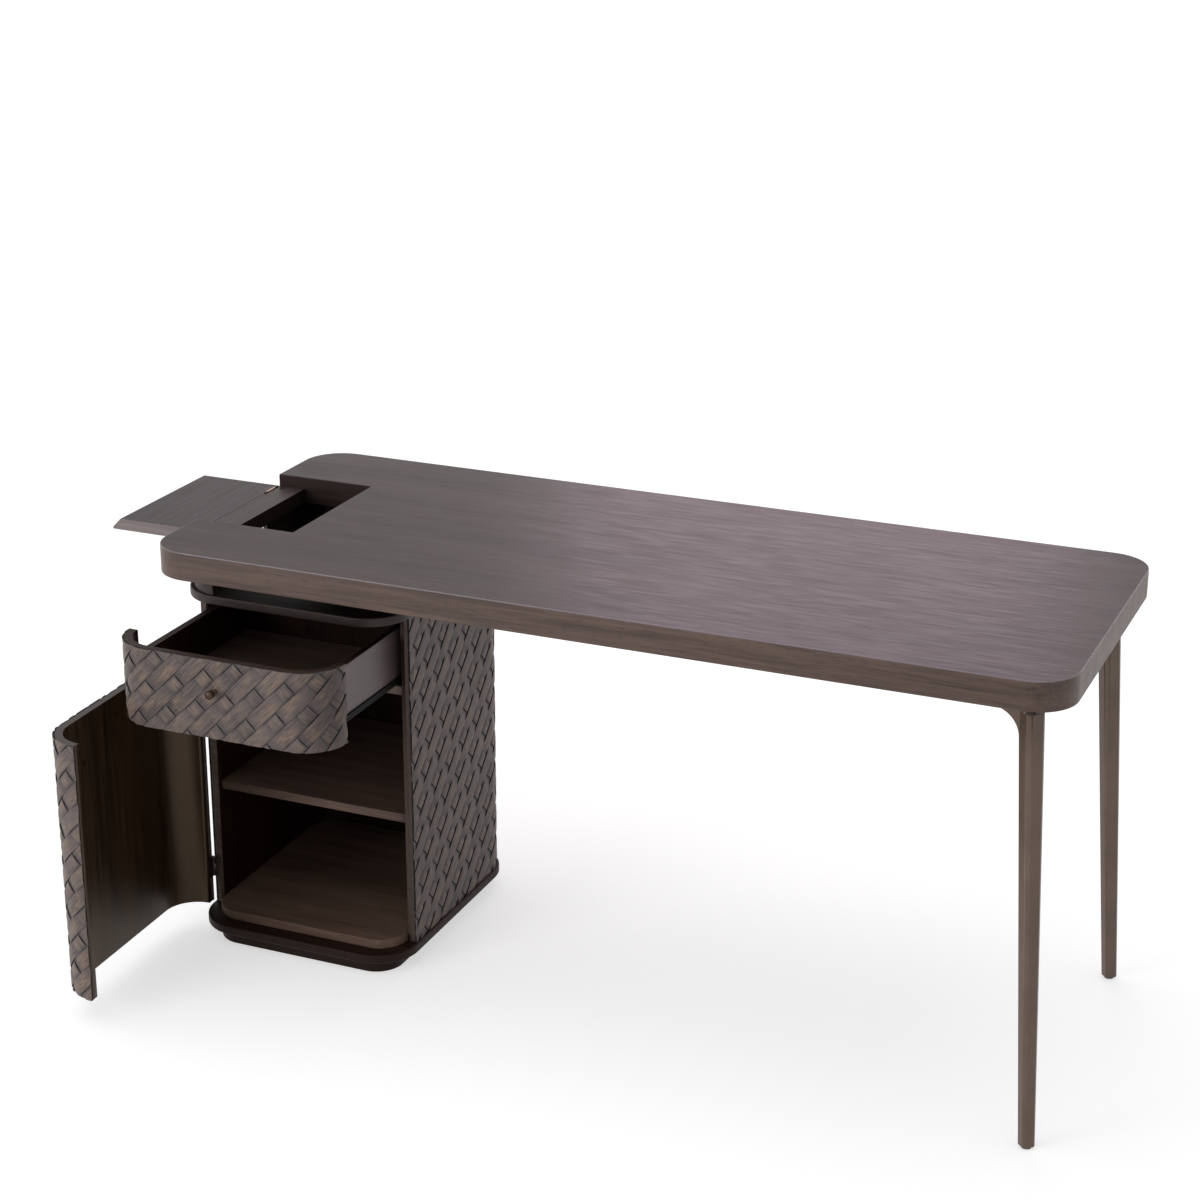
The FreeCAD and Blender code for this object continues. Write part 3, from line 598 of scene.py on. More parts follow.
def add_piece(mesh: bpy.types.Mesh, name: str, finishes: Sequence[Finish], node: str,
              stands_for: bool = True) -> bpy.types.Object:
    """Puts a mesh into the scene as a piece that goes with a CAD node.

    Args:
        mesh: the mesh, in the row frame.
        name: the piece's name.
        finishes: its finishes, in the order of its face slots.
        node: the CAD node that it goes with.
        stands_for: whether it takes the node's place.

    Returns:
        The new object.
    """
    piece = put_in_scene(name, mesh)
    for finish in finishes:
        mesh.materials.append(Paint.of(finish))
    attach(piece, body_of_node(node))
    if stands_for:
        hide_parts(node)
    LOG.info("%s: %d faces", name, len(mesh.polygons))
    return piece


def onward(items: Sequence[Any]) -> list[Any]:
    """The item that follows each one of a closed row."""
    return [*items[1:], items[0]]


def corners_of(outline: Sequence[Vector]) -> Iterator[tuple[Vector, Vector, Vector]]:
    """Each point of a closed outline, with the points before and after it."""
    return zip([outline[-1], *outline[:-1]], outline, onward(outline))


def signed_area(outline: Sequence[Vector]) -> float:
    """Area within a closed outline, above zero where it runs anticlockwise."""
    return sum(here.cross(after) for here, after in zip(outline, onward(outline))) / 2


def inset_outline(outline: Sequence[Vector], distance: float) -> list[Vector]:
    """Draws a closed outline in, corner by corner.

    Args:
        outline: its points, anticlockwise.
        distance: how far in.

    Returns:
        The new outline's points.
    """
    moved = []
    for before, here, after in corners_of(outline):
        arriving = (here - before).normalized()
        leaving = (after - here).normalized()
        inward_in = Vector((-arriving.y, arriving.x))
        inward_out = Vector((-leaving.y, leaving.x))
        moved.append(here + (inward_in + inward_out) * (distance / (1.0 + inward_in.dot(inward_out))))
    return moved


def arc(centre: Vector, radius: float, start: float, end: float, steps: int) -> list[Vector]:
    """Points of an arc in a plane, both ends included.

    Args:
        centre: the arc's centre.
        radius: its radius.
        start: first angle in degrees.
        end: last angle in degrees.
        steps: how many chords.

    Returns:
        The points.
    """
    angles = [math.radians(start + (end - start) * step / steps) for step in range(steps + 1)]
    return [centre + Vector((math.cos(angle), math.sin(angle))) * radius for angle in angles]


def close_rings(bm: bmesh.types.BMesh, rings: Sequence[Ring]) -> list[list[bmesh.types.BMFace]]:
    """Builds a closed solid from rings of as many vertices each.

    Args:
        bm: the mesh under way.
        rings: the rings, from one end to the other.

    Returns:
        The faces between each ring and the next.
    """
    walls = []
    for lower, upper in zip(rings, rings[1:]):
        quads = zip(lower, onward(lower), onward(upper), upper)
        walls.append([bm.faces.new(corners) for corners in quads])
    bm.faces.new(list(reversed(rings[0])))
    bm.faces.new(rings[-1])
    return walls


def made_mesh(bm: bmesh.types.BMesh, name: str, crease: Optional[float] = None) -> bpy.types.Mesh:
    """Turns a mesh under way into a finished one, its faces looking outward.

    Args:
        bm: the mesh under way, which is used up.
        name: the finished mesh's name.
        crease: angle in degrees from which an edge is sharp, or None to leave the edges as they are.

    Returns:
        The finished mesh.
    """
    bmesh.ops.recalc_face_normals(bm, faces=bm.faces)
    if crease is not None:
        for edge in bm.edges:
            edge.smooth = edge.calc_face_angle(0.0) < math.radians(crease)
    mesh = bpy.data.meshes.new(name)
    bm.to_mesh(mesh)
    bm.free()
    return mesh


def paint_heading(mesh: bpy.types.Mesh, heading: Heading, slot: int, reach: float = 0.9) -> None:
    """Gives the faces that look one way a slot of their own.

    Args:
        mesh: the mesh, in the row frame.
        heading: the way.
        slot: the material slot.
        reach: how close a face must come to the way, as a cosine.
    """
    for face in mesh.polygons:
        if face.normal.dot(Vector(heading.value)) > reach:
            face.material_index = slot


def weight_normals(piece: bpy.types.Object) -> None:
    """Keeps flat faces flat in shade while the rounded edges stay smooth.

    Args:
        piece: the piece to shade so.
    """
    modifier = piece.modifiers.new("flat_faces", "WEIGHTED_NORMAL")
    modifier.weight = 100
    modifier.keep_sharp = True


@dataclass
class EasedBoard:
    """Board cut to an outline, with its long edges rounded over."""

    outline: list[Vector]
    levels: Range
    ease: float
    axis: Grain = Grain.UP
    steps: int = 4

    def point(self, flat: Vector, level: float) -> Vector:
        """Place in space of a point of the outline's plane.

        Args:
            flat: the point in that plane.
            level: its level along the board's axis.

        Returns:
            The point in the row frame.
        """
        if self.axis is Grain.UP:
            return Vector((flat.x, flat.y, level))
        if self.axis is Grain.ALONG:
            return Vector((level, flat.x, flat.y))
        return Vector((flat.y, level, flat.x))

    def mesh(self, name: str) -> bpy.types.Mesh:
        """Builds the board: rings of its outline between two flat faces.

        Args:
            name: the mesh's name.

        Returns:
            The mesh, its faces in the slots of BoardSlot.
        """
        turns = [step / self.steps * math.pi / 2 for step in range(self.steps + 1)]
        low, high = self.levels
        rounding = [(self.ease * (1 - math.sin(turn)), self.ease * (1 - math.cos(turn))) for turn in turns]
        insets = [(inset, low + rise) for inset, rise in rounding]
        insets += [(inset, high - rise) for inset, rise in reversed(rounding)]
        bm = bmesh.new()
        rings = []
        for inset, level in insets:
            flat = inset_outline(self.outline, inset)
            rings.append([bm.verts.new(self.point(point, level)) for point in flat])
        for place, wall in enumerate(close_rings(bm, rings)):
            for face in wall:
                face.material_index = BoardSlot.UPPER_EDGE if place > self.steps else BoardSlot.SIDE
        for face in bm.faces:
            face.smooth = True
        return made_mesh(bm, name)


@dataclass
class DeskTop:
    """The slab, with the cable notch cut into its left end."""

    x_range: Range = (-195.7 * MM, 1312.7 * MM)
    y_range: Range = (-313.0 * MM, 287.0 * MM)
    z_range: Range = (702.8 * MM, 750.0 * MM)
    corner_radius: float = 68.0 * MM
    notch_x: float = -14.5 * MM
    notch_y: Range = (-149.0 * MM, 123.0 * MM)
    edge_round: float = 1.5 * MM
    corner_steps: int = 28

    def outline(self) -> list[Vector]:
        """Draws the slab's plan, with the notch in its left end.

        Returns:
            The plan's points, anticlockwise from the front left corner.
        """
        (left, right), (front, back), radius = self.x_range, self.y_range, self.corner_radius
        across, deep = (left + radius, right - radius), (front + radius, back - radius)
        points = []
        for place, start in (((0, 0), 180), ((1, 0), 270), ((1, 1), 0), ((0, 1), 90)):
            centre = Vector((across[place[0]], deep[place[1]]))
            points += arc(centre, radius, start, start + 90, self.corner_steps)
        near, far = self.notch_y
        points += [Vector((left, far)), Vector((self.notch_x, far))]
        points += [Vector((self.notch_x, near)), Vector((left, near))]
        return points

    def in_notch(self, place: Vector) -> bool:
        """Whether a place on the slab's edge belongs to the notch."""
        near, far = self.notch_y[0] - self.edge_round, self.notch_y[1] + self.edge_round
        return place.x < self.notch_x + self.edge_round and near < place.y < far

    def build(self) -> None:
        """Builds and dresses the slab."""
        mesh = EasedBoard(self.outline(), self.z_range, self.edge_round).mesh("slab")
        # Faces round the notch take the darker notch finish, painted shade inside the cable well.
        for face in mesh.polygons:
            if face.material_index != BoardSlot.FLAT and self.in_notch(face.center):
                face.material_index = BoardSlot.OWN
        # Slots: flat faces, sides, the rounded upper edge with its painted highlight, and the notch's faces
        # in painted shade.
        piece = add_piece(mesh, "slab", (TOP_VENEER, TOP_EDGE, TOP_ARRIS_PAINTED_HIGHLIGHT, NOTCH_WOOD_PAINTED_SHADE), "desktop_slab")
        weight_normals(piece)


@dataclass
class Leg:
    """Splayed, tapering metal leg: a diagonal square section with flat-cut corners and two flared arms."""

    node: str
    side: float
    middle_y: float = -13.0 * MM
    foot: tuple[float, float] = (1292.8 * MM, 286.7 * MM)
    head: tuple[float, float] = (1251.0 * MM, 255.4 * MM)
    levels: Range = (3.0 * MM, 687.5 * MM)
    widths: Range = (22.1 * MM, 32.4 * MM)
    corner_share: float = 0.21
    corner_round: float = 1.4 * MM
    corner_steps: int = 3
    end_round: float = 1.0 * MM
    arm_top: float = 702.8 * MM
    arm_length: float = 100.0 * MM
    arm_root: float = 15.0 * MM
    arm_heel: float = 7.5 * MM
    arm_thickness: float = 12.0 * MM
    arm_width: float = 15.0 * MM
    arm_ease: float = 1.2 * MM
    arm_steps: int = 3
    flare_radius: float = 46.0 * MM
    flare_steps: int = 10
    fade: float = 60.0 * MM

    def section(self, width: float) -> list[Vector]:
        """The shaft's section about its middle, anticlockwise, with its corners rounded.

        Args:
            width: the square's side before its corners are cut.

        Returns:
            The section's points.
        """
        half, cut = width / 2, width * self.corner_share
        corners = []
        for quarter in range(4):
            turn = Matrix.Rotation(math.radians(45 + 90 * quarter), 2)
            corners += [turn @ Vector((half, half - cut)), turn @ Vector((half - cut, half))]
        points = []
        for before, here, after in corners_of(corners):
            start = here + (before - here).normalized() * self.corner_round
            end = here + (after - here).normalized() * self.corner_round
            for step in range(self.corner_steps + 1):
                share = step / self.corner_steps
                points.append(start * (1 - share) ** 2 + here * (2 * share * (1 - share)) + end * share ** 2)
        return points

    def plan(self, place: tuple[float, float]) -> Vector:
        """A place in plan, given as x and as distance from the middle of both legs."""
        return Vector((place[0], self.middle_y + self.side * place[1]))

    def shaft(self, bm: bmesh.types.BMesh) -> None:
        """Adds the shaft, drawn in a little at its foot.

        Args:
            bm: the mesh under way.
        """
        low, high = self.levels
        foot, head = self.plan(self.foot), self.plan(self.head)
        rings = []
        for level, inset in ((low, self.end_round), (low + self.end_round, 0.0), (high, 0.0)):
            share = (level - low) / (high - low)
            centre = foot.lerp(head, share)
            width = self.widths[0] + (self.widths[1] - self.widths[0]) * share - 2 * inset
            rings.append([bm.verts.new((*(centre + point), level)) for point in self.section(width)])
        close_rings(bm, rings)

    def arm_profile(self) -> list[Vector]:
        """Draws an arm as seen from its side.

        Returns:
            Its points: distance out from the head's middle, and height.
        """
        top = self.arm_top
        under = top - self.arm_thickness
        hollow = Vector((self.arm_root + self.flare_radius, under - self.flare_radius))
        bend = arc(hollow, self.flare_radius, 180, 90, self.flare_steps)
        points = [Vector((-self.arm_heel, top)), Vector((-self.arm_heel, hollow.y - self.fade))]
        return [*points, *bend, Vector((self.arm_length, under)), Vector((self.arm_length, top))]

    def arm(self, bm: bmesh.types.BMesh, axis: Grain) -> None:
        """Adds one arm.

        Args:
            bm: the mesh under way.
            axis: whether the arm runs along X, towards the pedestal, or along Y, towards the other leg.
        """
        head = self.plan(self.head)
        half = self.arm_width / 2
        if axis is Grain.ALONG:
            outline = [Vector((point.y, head.x - point.x)) for point in self.arm_profile()]
            middle, thickness = head.y, Grain.BACK
        else:
            outline = [Vector((head.y - self.side * point.x, point.y)) for point in self.arm_profile()]
            middle, thickness = head.x, Grain.ALONG
        if signed_area(outline) < 0:
            outline.reverse()
        board = EasedBoard(outline, (middle - half, middle + half), self.arm_ease, thickness, self.arm_steps)
        made = board.mesh(self.node + "_arm")
        bm.from_mesh(made)
        bpy.data.meshes.remove(made)

    def build(self) -> None:
        """Builds and dresses the leg."""
        bm = bmesh.new()
        self.shaft(bm)
        self.arm(bm, Grain.ALONG)
        self.arm(bm, Grain.BACK)
        for face in bm.faces:
            face.smooth = True
            face.material_index = 0
        piece = add_piece(made_mesh(bm, self.node), self.node + "_eased", (LEG_BRONZE,), self.node)
        weight_normals(piece)


@dataclass
class HingeScrews:
    """Slotted screw heads, set in the leaves of the flap's hinges."""

    hinge_y: Range = FLAP_HINGE_Y
    spread: float = 11.0 * MM
    leaf_top: float = 728.9 * MM
    rail_x: float = -186.6 * MM
    flap_x: float = -205.6 * MM
    radius: float = 2.6 * MM
    rise: float = 0.12 * MM
    slot_width: float = 0.7 * MM
    sides: int = 24

    def head(self, bm: bmesh.types.BMesh, place: Vector) -> None:
        """Adds one head: two low half discs with the slot between them.

        Args:
            bm: the mesh under way.
            place: middle of the head, on the leaf.
        """
        half_slot = math.asin(self.slot_width / 2 / self.radius)
        span = math.pi - 2 * half_slot
        for start in (half_slot, math.pi + half_slot):
            turns = [start + span * step / self.sides for step in range(self.sides + 1)]
            rim = [(math.cos(turn) * self.radius, math.sin(turn) * self.radius) for turn in turns]
            levels = (0.0, self.rise)
            close_rings(bm, [[bm.verts.new(place + Vector((x, y, z))) for x, y in rim] for z in levels])

    def build(self) -> None:
        """Builds and dresses the screws of both leaves."""
        for node, x in (("flap_hinge_rail_leaves", self.rail_x), ("flap_hinge_flap_leaves", self.flap_x)):
            bm = bmesh.new()
            for middle in self.hinge_y:
                for offset in (-self.spread, self.spread):
                    self.head(bm, Vector((x, middle + offset, self.leaf_top)))
            name = node + "_screws"
            add_piece(made_mesh(bm, name), name, (HINGE_BRONZE,), node, stands_for=False)


@dataclass
class PedestalWall:
    """The pedestal's rounded outline, unrolled: s runs from the front's middle to the right."""

    half_width: float = 197.0 * MM
    half_depth: float = 224.5 * MM
    radius: float = 71.0 * MM
    relief: float = 3.5 * MM

    def runs(self) -> list[tuple[float, float]]:
        """Lists the straight and quarter-round runs of the wall.

        Returns:
            Each run's length and turn, from the front's middle round to it again.
        """
        across = (self.half_width - self.radius, 0.0)
        deep = (2 * (self.half_depth - self.radius), 0.0)
        back = (2 * across[0], 0.0)
        bend = (self.radius * math.pi / 2, math.pi / 2)
        return [across, bend, deep, bend, back, bend, deep, bend, across]

    def breaks(self) -> list[float]:
        """Lists the distances at which one run meets the next.

        Returns:
            The distances, from zero to the whole way round.
        """
        ends = [0.0]
        for length, _turn in self.runs():
            ends.append(ends[-1] + length)
        return ends

    def point(self, s: float, z: float, h: float) -> Vector:
        """Place in space of a point of the unrolled wall, h above the strips' bed.

        Args:
            s: distance along the wall.
            z: height.
            h: height above the bed.

        Returns:
            The point in the row frame.
        """
        x, y, heading = 0.0, -self.half_depth, 0.0
        rest = s % self.breaks()[-1]
        for length, turn in self.runs():
            step = min(rest, length)
            if turn:
                swept = turn * step / length
                x += self.radius * (math.sin(heading + swept) - math.sin(heading))
                y += self.radius * (math.cos(heading) - math.cos(heading + swept))
                heading += swept
            else:
                x += step * math.cos(heading)
                y += step * math.sin(heading)
            rest -= step
            if rest <= 0:
                break
        out = self.relief - h
        return Vector((x - math.sin(heading) * out, y + math.cos(heading) * out, z))


@dataclass
class WovenFacing:
    """Woven relief on one stretch of the wall, each strip a closed tile.

    Long strips show over three cells, up and to the right. Squares between them show over one.
    """

    wall: PedestalWall
    node: str
    s_range: Range
    z_range: Range
    placing: Matrix = field(default_factory=lambda: Matrix.Identity(4))
    pitch: float = 25.5 * MM
    anchor_z: float = 577.0 * MM
    crest: float = 3.5 * MM
    float_sink: float = 1.1 * MM
    square_sink: float = 1.2 * MM
    float_flat: float = 0.45
    square_flat: float = 0.25
    crown_fall: float = 0.10
    gap: float = 0.55 * MM
    edge_from: float = 0.7
    edge_fall: float = 0.35 * MM
    glaze_reach: float = 4.0 * MM
    end_glaze_reach: float = 6.4 * MM
    lipped_ends: tuple[float, ...] = ()
    lipping: float = 1.6 * MM
    crease: float = 40.0

    FLOAT_STATIONS = (-1.0, -0.97, -0.92, -0.84, -0.74, -0.62, -0.5, -0.25, 0.0,
                      0.25, 0.5, 0.62, 0.74, 0.84, 0.92, 0.97, 1.0)
    SQUARE_STATIONS = (-1.0, -0.94, -0.84, -0.7, -0.5, -0.25, 0.0, 0.25, 0.5, 0.7, 0.84, 0.94, 1.0)
    WIDTH_STATIONS = (-1.0, -0.94, -0.84, -0.7, -0.35, 0.35, 0.7, 0.84, 0.94, 1.0)
    SQUARE_CELLS, FLOAT_CELLS = 1, 3
    REPEAT, SQUARE_PLACE, FLOAT_PLACE = 4, 0, 2
    LATTICE_MARGIN = 4
    SQUARE_RIM, FLOAT_RIM, FLOAT_RIM_FALL = 0.9, 0.55, 0.35
    GRAIN_SPREAD = 9.0
    VERT_MARKS = ("groove", "height", "tone")

    def lattice(self) -> Iterator[tuple[int, int, int]]:
        """Goes through the cells that may touch the stretch.

        Returns:
            Each cell's i and j, and its place in the weave's repeat.
        """
        step = self.pitch / math.sqrt(2)
        s_low, s_high = (end / step for end in self.s_range)
        z_low, z_high = ((end - self.anchor_z) / step for end in self.z_range)
        margin = self.LATTICE_MARGIN
        for total in range(math.floor(s_low) - margin, math.ceil(s_high) + margin + 1):
            for offset in range(math.floor(z_low) - margin, math.ceil(z_high) + margin + 1):
                if (total + offset) % 2 == 0:
                    i, j = (total + offset) // 2, (total - offset) // 2
                    yield i, j, (i - 2 * j + 2) % self.REPEAT

    def rise(self, u: float, v: float, cells: int) -> float:
        """Height of a strip above the wall's bed.

        Args:
            u: place along the strip, -1 to 1.
            v: place across it, -1 to 1.
            cells: the strip's visible length in cells.

        Returns:
            The height.
        """
        square = cells == self.SQUARE_CELLS
        sink = self.square_sink if square else self.float_sink
        flat_share = self.square_flat if square else self.float_flat
        fall = max(0.0, (abs(u) - flat_share) / (1 - flat_share))
        arch = 1 - fall * fall if square else (1 + math.cos(fall * math.pi)) / 2
        crown = 1 - self.crown_fall * v * v
        edge = self.edge_fall * max(0.0, (abs(v) - self.edge_from) / (1 - self.edge_from)) ** 2
        return sink + (self.crest - sink) * arch * crown - edge * arch

    def tile(self, bm: bmesh.types.BMesh, centre: Vector, along: Vector, cells: int,
             draw: random.Random) -> None:
        """Adds one strip's visible length as a closed tile, on the unrolled wall.

        Args:
            bm: the mesh under way, in s, z and h.
            centre: the tile's middle.
            along: the strip's direction.
            cells: its length in cells.
            draw: source of each tile's tone and grain.
        """
        across = Vector((along.y, -along.x))
        half_length = cells * self.pitch / 2 - self.gap / 2
        half_width = self.pitch / 2 - self.gap / 2
        square = cells == self.SQUARE_CELLS
        stations = self.SQUARE_STATIONS if square else self.FLOAT_STATIONS
        groove, height, tone = (bm.verts.layers.float[name] for name in self.VERT_MARKS)
        wall = bm.faces.layers.float["wall"]
        strip = bm.loops.layers.uv["strip"]
        own_tone = draw.random()
        grain_at = (draw.uniform(0.0, self.GRAIN_SPREAD), draw.uniform(0.0, self.GRAIN_SPREAD))
        places: dict[bmesh.types.BMVert, tuple[float, float]] = {}

        def vert(u: float, v: float, h: float, mark: float) -> bmesh.types.BMVert:
            """Adds a vertex with its marks.

            Args:
                u: place along the strip, -1 to 1.
                v: place across it, -1 to 1.
                h: height above the bed.
                mark: how deep in the glaze it lies, 0 to 1.

            Returns:
                The vertex.
            """
            flat = centre + along * (u * half_length) + across * (v * half_width)
            made = bm.verts.new((flat.x, flat.y, h))
            made[groove] = mark
            made[height] = max(0.0, (h - self.float_sink) / (self.crest - self.float_sink))
            made[tone] = own_tone
            places[made] = (grain_at[0] + u * half_length, grain_at[1] + v * half_width)
            return made

        top = []
        for u in stations:
            end_mark = max(0.0, 1.0 - (1.0 - abs(u)) * half_length / self.end_glaze_reach)
            long_rim = self.SQUARE_RIM if square else self.FLOAT_RIM - self.FLOAT_RIM_FALL * abs(u)
            row = []
            for v in self.WIDTH_STATIONS:
                side_mark = long_rim * max(0.0, 1.0 - (1.0 - abs(v)) * half_width / self.glaze_reach)
                row.append(vert(u, v, self.rise(u, v, cells), max(end_mark, side_mark)))
            top.append(row)
        base = [[vert(u, v, 0.0, 1.0) for v in (-1.0, 1.0)] for u in stations]
        tops, walls = [], []
        for near, far in zip(top, top[1:]):
            tops += zip(near, far, far[1:], near[1:])
        for (near, far), (low, high) in zip(zip(top, top[1:]), zip(base, base[1:])):
            walls.append((low[0], high[0], far[0], near[0]))
            walls.append((near[-1], far[-1], high[1], low[1]))
            walls.append((low[0], low[1], high[1], high[0]))
        walls.append((*top[0], base[0][1], base[0][0]))
        walls.append((*reversed(top[-1]), base[-1][0], base[-1][1]))
        # Wall faces get the mark 1, which the woven finish paints near-black as painted shade.
        for mark, group in ((0.0, tops), (1.0, walls)):
            for corners in group:
                face = bm.faces.new(corners)
                face.smooth = True
                face[wall] = mark
                for loop in face.loops:
                    loop[strip].uv = places[loop.vert]

    def trim(self, bm: bmesh.types.BMesh) -> None:
        """Cuts the tiles off at the stretch's four borders and closes the cuts.

        Args:
            bm: the mesh under way, in s, z and h.
        """
        borders = [((self.s_range[0], 0, 0), (-1, 0, 0)), ((self.s_range[1], 0, 0), (1, 0, 0))]
        borders += [((0, self.z_range[0], 0), (0, -1, 0)), ((0, self.z_range[1], 0), (0, 1, 0))]
        for place, outward in borders:
            everything = [*bm.verts, *bm.edges, *bm.faces]
            bmesh.ops.bisect_plane(bm, geom=everything, plane_co=place, plane_no=outward, clear_outer=True)
            open_edges = [edge for edge in bm.edges if edge.is_boundary]
            bmesh.ops.holes_fill(bm, edges=open_edges)

    def lip(self, bm: bmesh.types.BMesh, end: float) -> None:
        """Adds a narrow upright edge strip at one end of the stretch.

        Args:
            bm: the mesh under way, in s, z and h.
            end: distance along the wall of the strip's outer side.
        """
        inner = end + math.copysign(self.lipping, sum(self.s_range) / 2 - end)
        size = (abs(inner - end), self.z_range[1] - self.z_range[0], self.crest)
        middle = ((end + inner) / 2, sum(self.z_range) / 2, self.crest / 2)
        bmesh.ops.create_cube(bm, size=1.0, matrix=Matrix.LocRotScale(Vector(middle), None, Vector(size)))

    def build(self) -> None:
        """Builds and dresses the facing."""
        draw = random.Random(self.node)
        step = self.pitch / math.sqrt(2)
        up_right = Vector((1, 1)).normalized()
        down_right = Vector((1, -1)).normalized()
        bm = bmesh.new()
        for name in self.VERT_MARKS:
            bm.verts.layers.float.new(name)
        bm.faces.layers.float.new("wall")
        bm.loops.layers.uv.new("strip")
        for i, j, place in self.lattice():
            centre = Vector(((i + j) * step, self.anchor_z + (i - j) * step))
            if place == self.SQUARE_PLACE:
                self.tile(bm, centre, down_right, self.SQUARE_CELLS, draw)
            elif place == self.FLOAT_PLACE:
                self.tile(bm, centre, up_right, self.FLOAT_CELLS, draw)
        self.trim(bm)
        for end in self.lipped_ends:
            self.lip(bm, end)
        for vert in bm.verts:
            vert.co = self.placing @ self.wall.point(*vert.co)
        add_piece(made_mesh(bm, self.node, self.crease), self.node + "_strips", (WOVEN,), self.node)


@dataclass
class WovenWalls:
    """All the woven facings of the pedestal, drawer and door."""

    wall: PedestalWall = field(default_factory=PedestalWall)
    wall_z: Range = (42.0 * MM, 633.0 * MM)
    drawer_z: Range = (497.0 * MM, 630.0 * MM)
    door_z: Range = (46.0 * MM, 494.8 * MM)
    side_drop: float = 13.0 * MM
    front_gap: float = 2.2 * MM
    drawer_pull: float = 213.0 * MM
    door_axis: tuple[float, float] = (-199.0 * MM, -152.4 * MM)
    door_angle: float = 88.8

    def build(self) -> None:
        """Builds the facings at their places in the rest pose."""
        ends = self.wall.breaks()
        drawn_out = Matrix.Translation((0, -self.drawer_pull, 0))
        axis = Vector((*self.door_axis, 0))
        swing = Matrix.Rotation(math.radians(-self.door_angle), 4, "Z")
        swung = Matrix.Translation(axis) @ swing @ Matrix.Translation(-axis)
        front = (-ends[2], ends[2])
        sides = {
            "right_weave_facing": (ends[2] + self.front_gap, ends[3]),
            "back_weave_facing": (ends[3], ends[6]),
            "left_weave_facing": (ends[6], ends[7] - self.front_gap),
        }
        for node, stretch in sides.items():
            facing = WovenFacing(self.wall, node, stretch, self.wall_z)
            facing.anchor_z -= self.side_drop
            if node == "left_weave_facing":
                facing.lipped_ends = (stretch[1],)
            facing.build()
        WovenFacing(self.wall, "drawer_front_weave", front, self.drawer_z, drawn_out).build()
        WovenFacing(self.wall, "door_weave", front, self.door_z, swung, lipped_ends=(front[0],)).build()


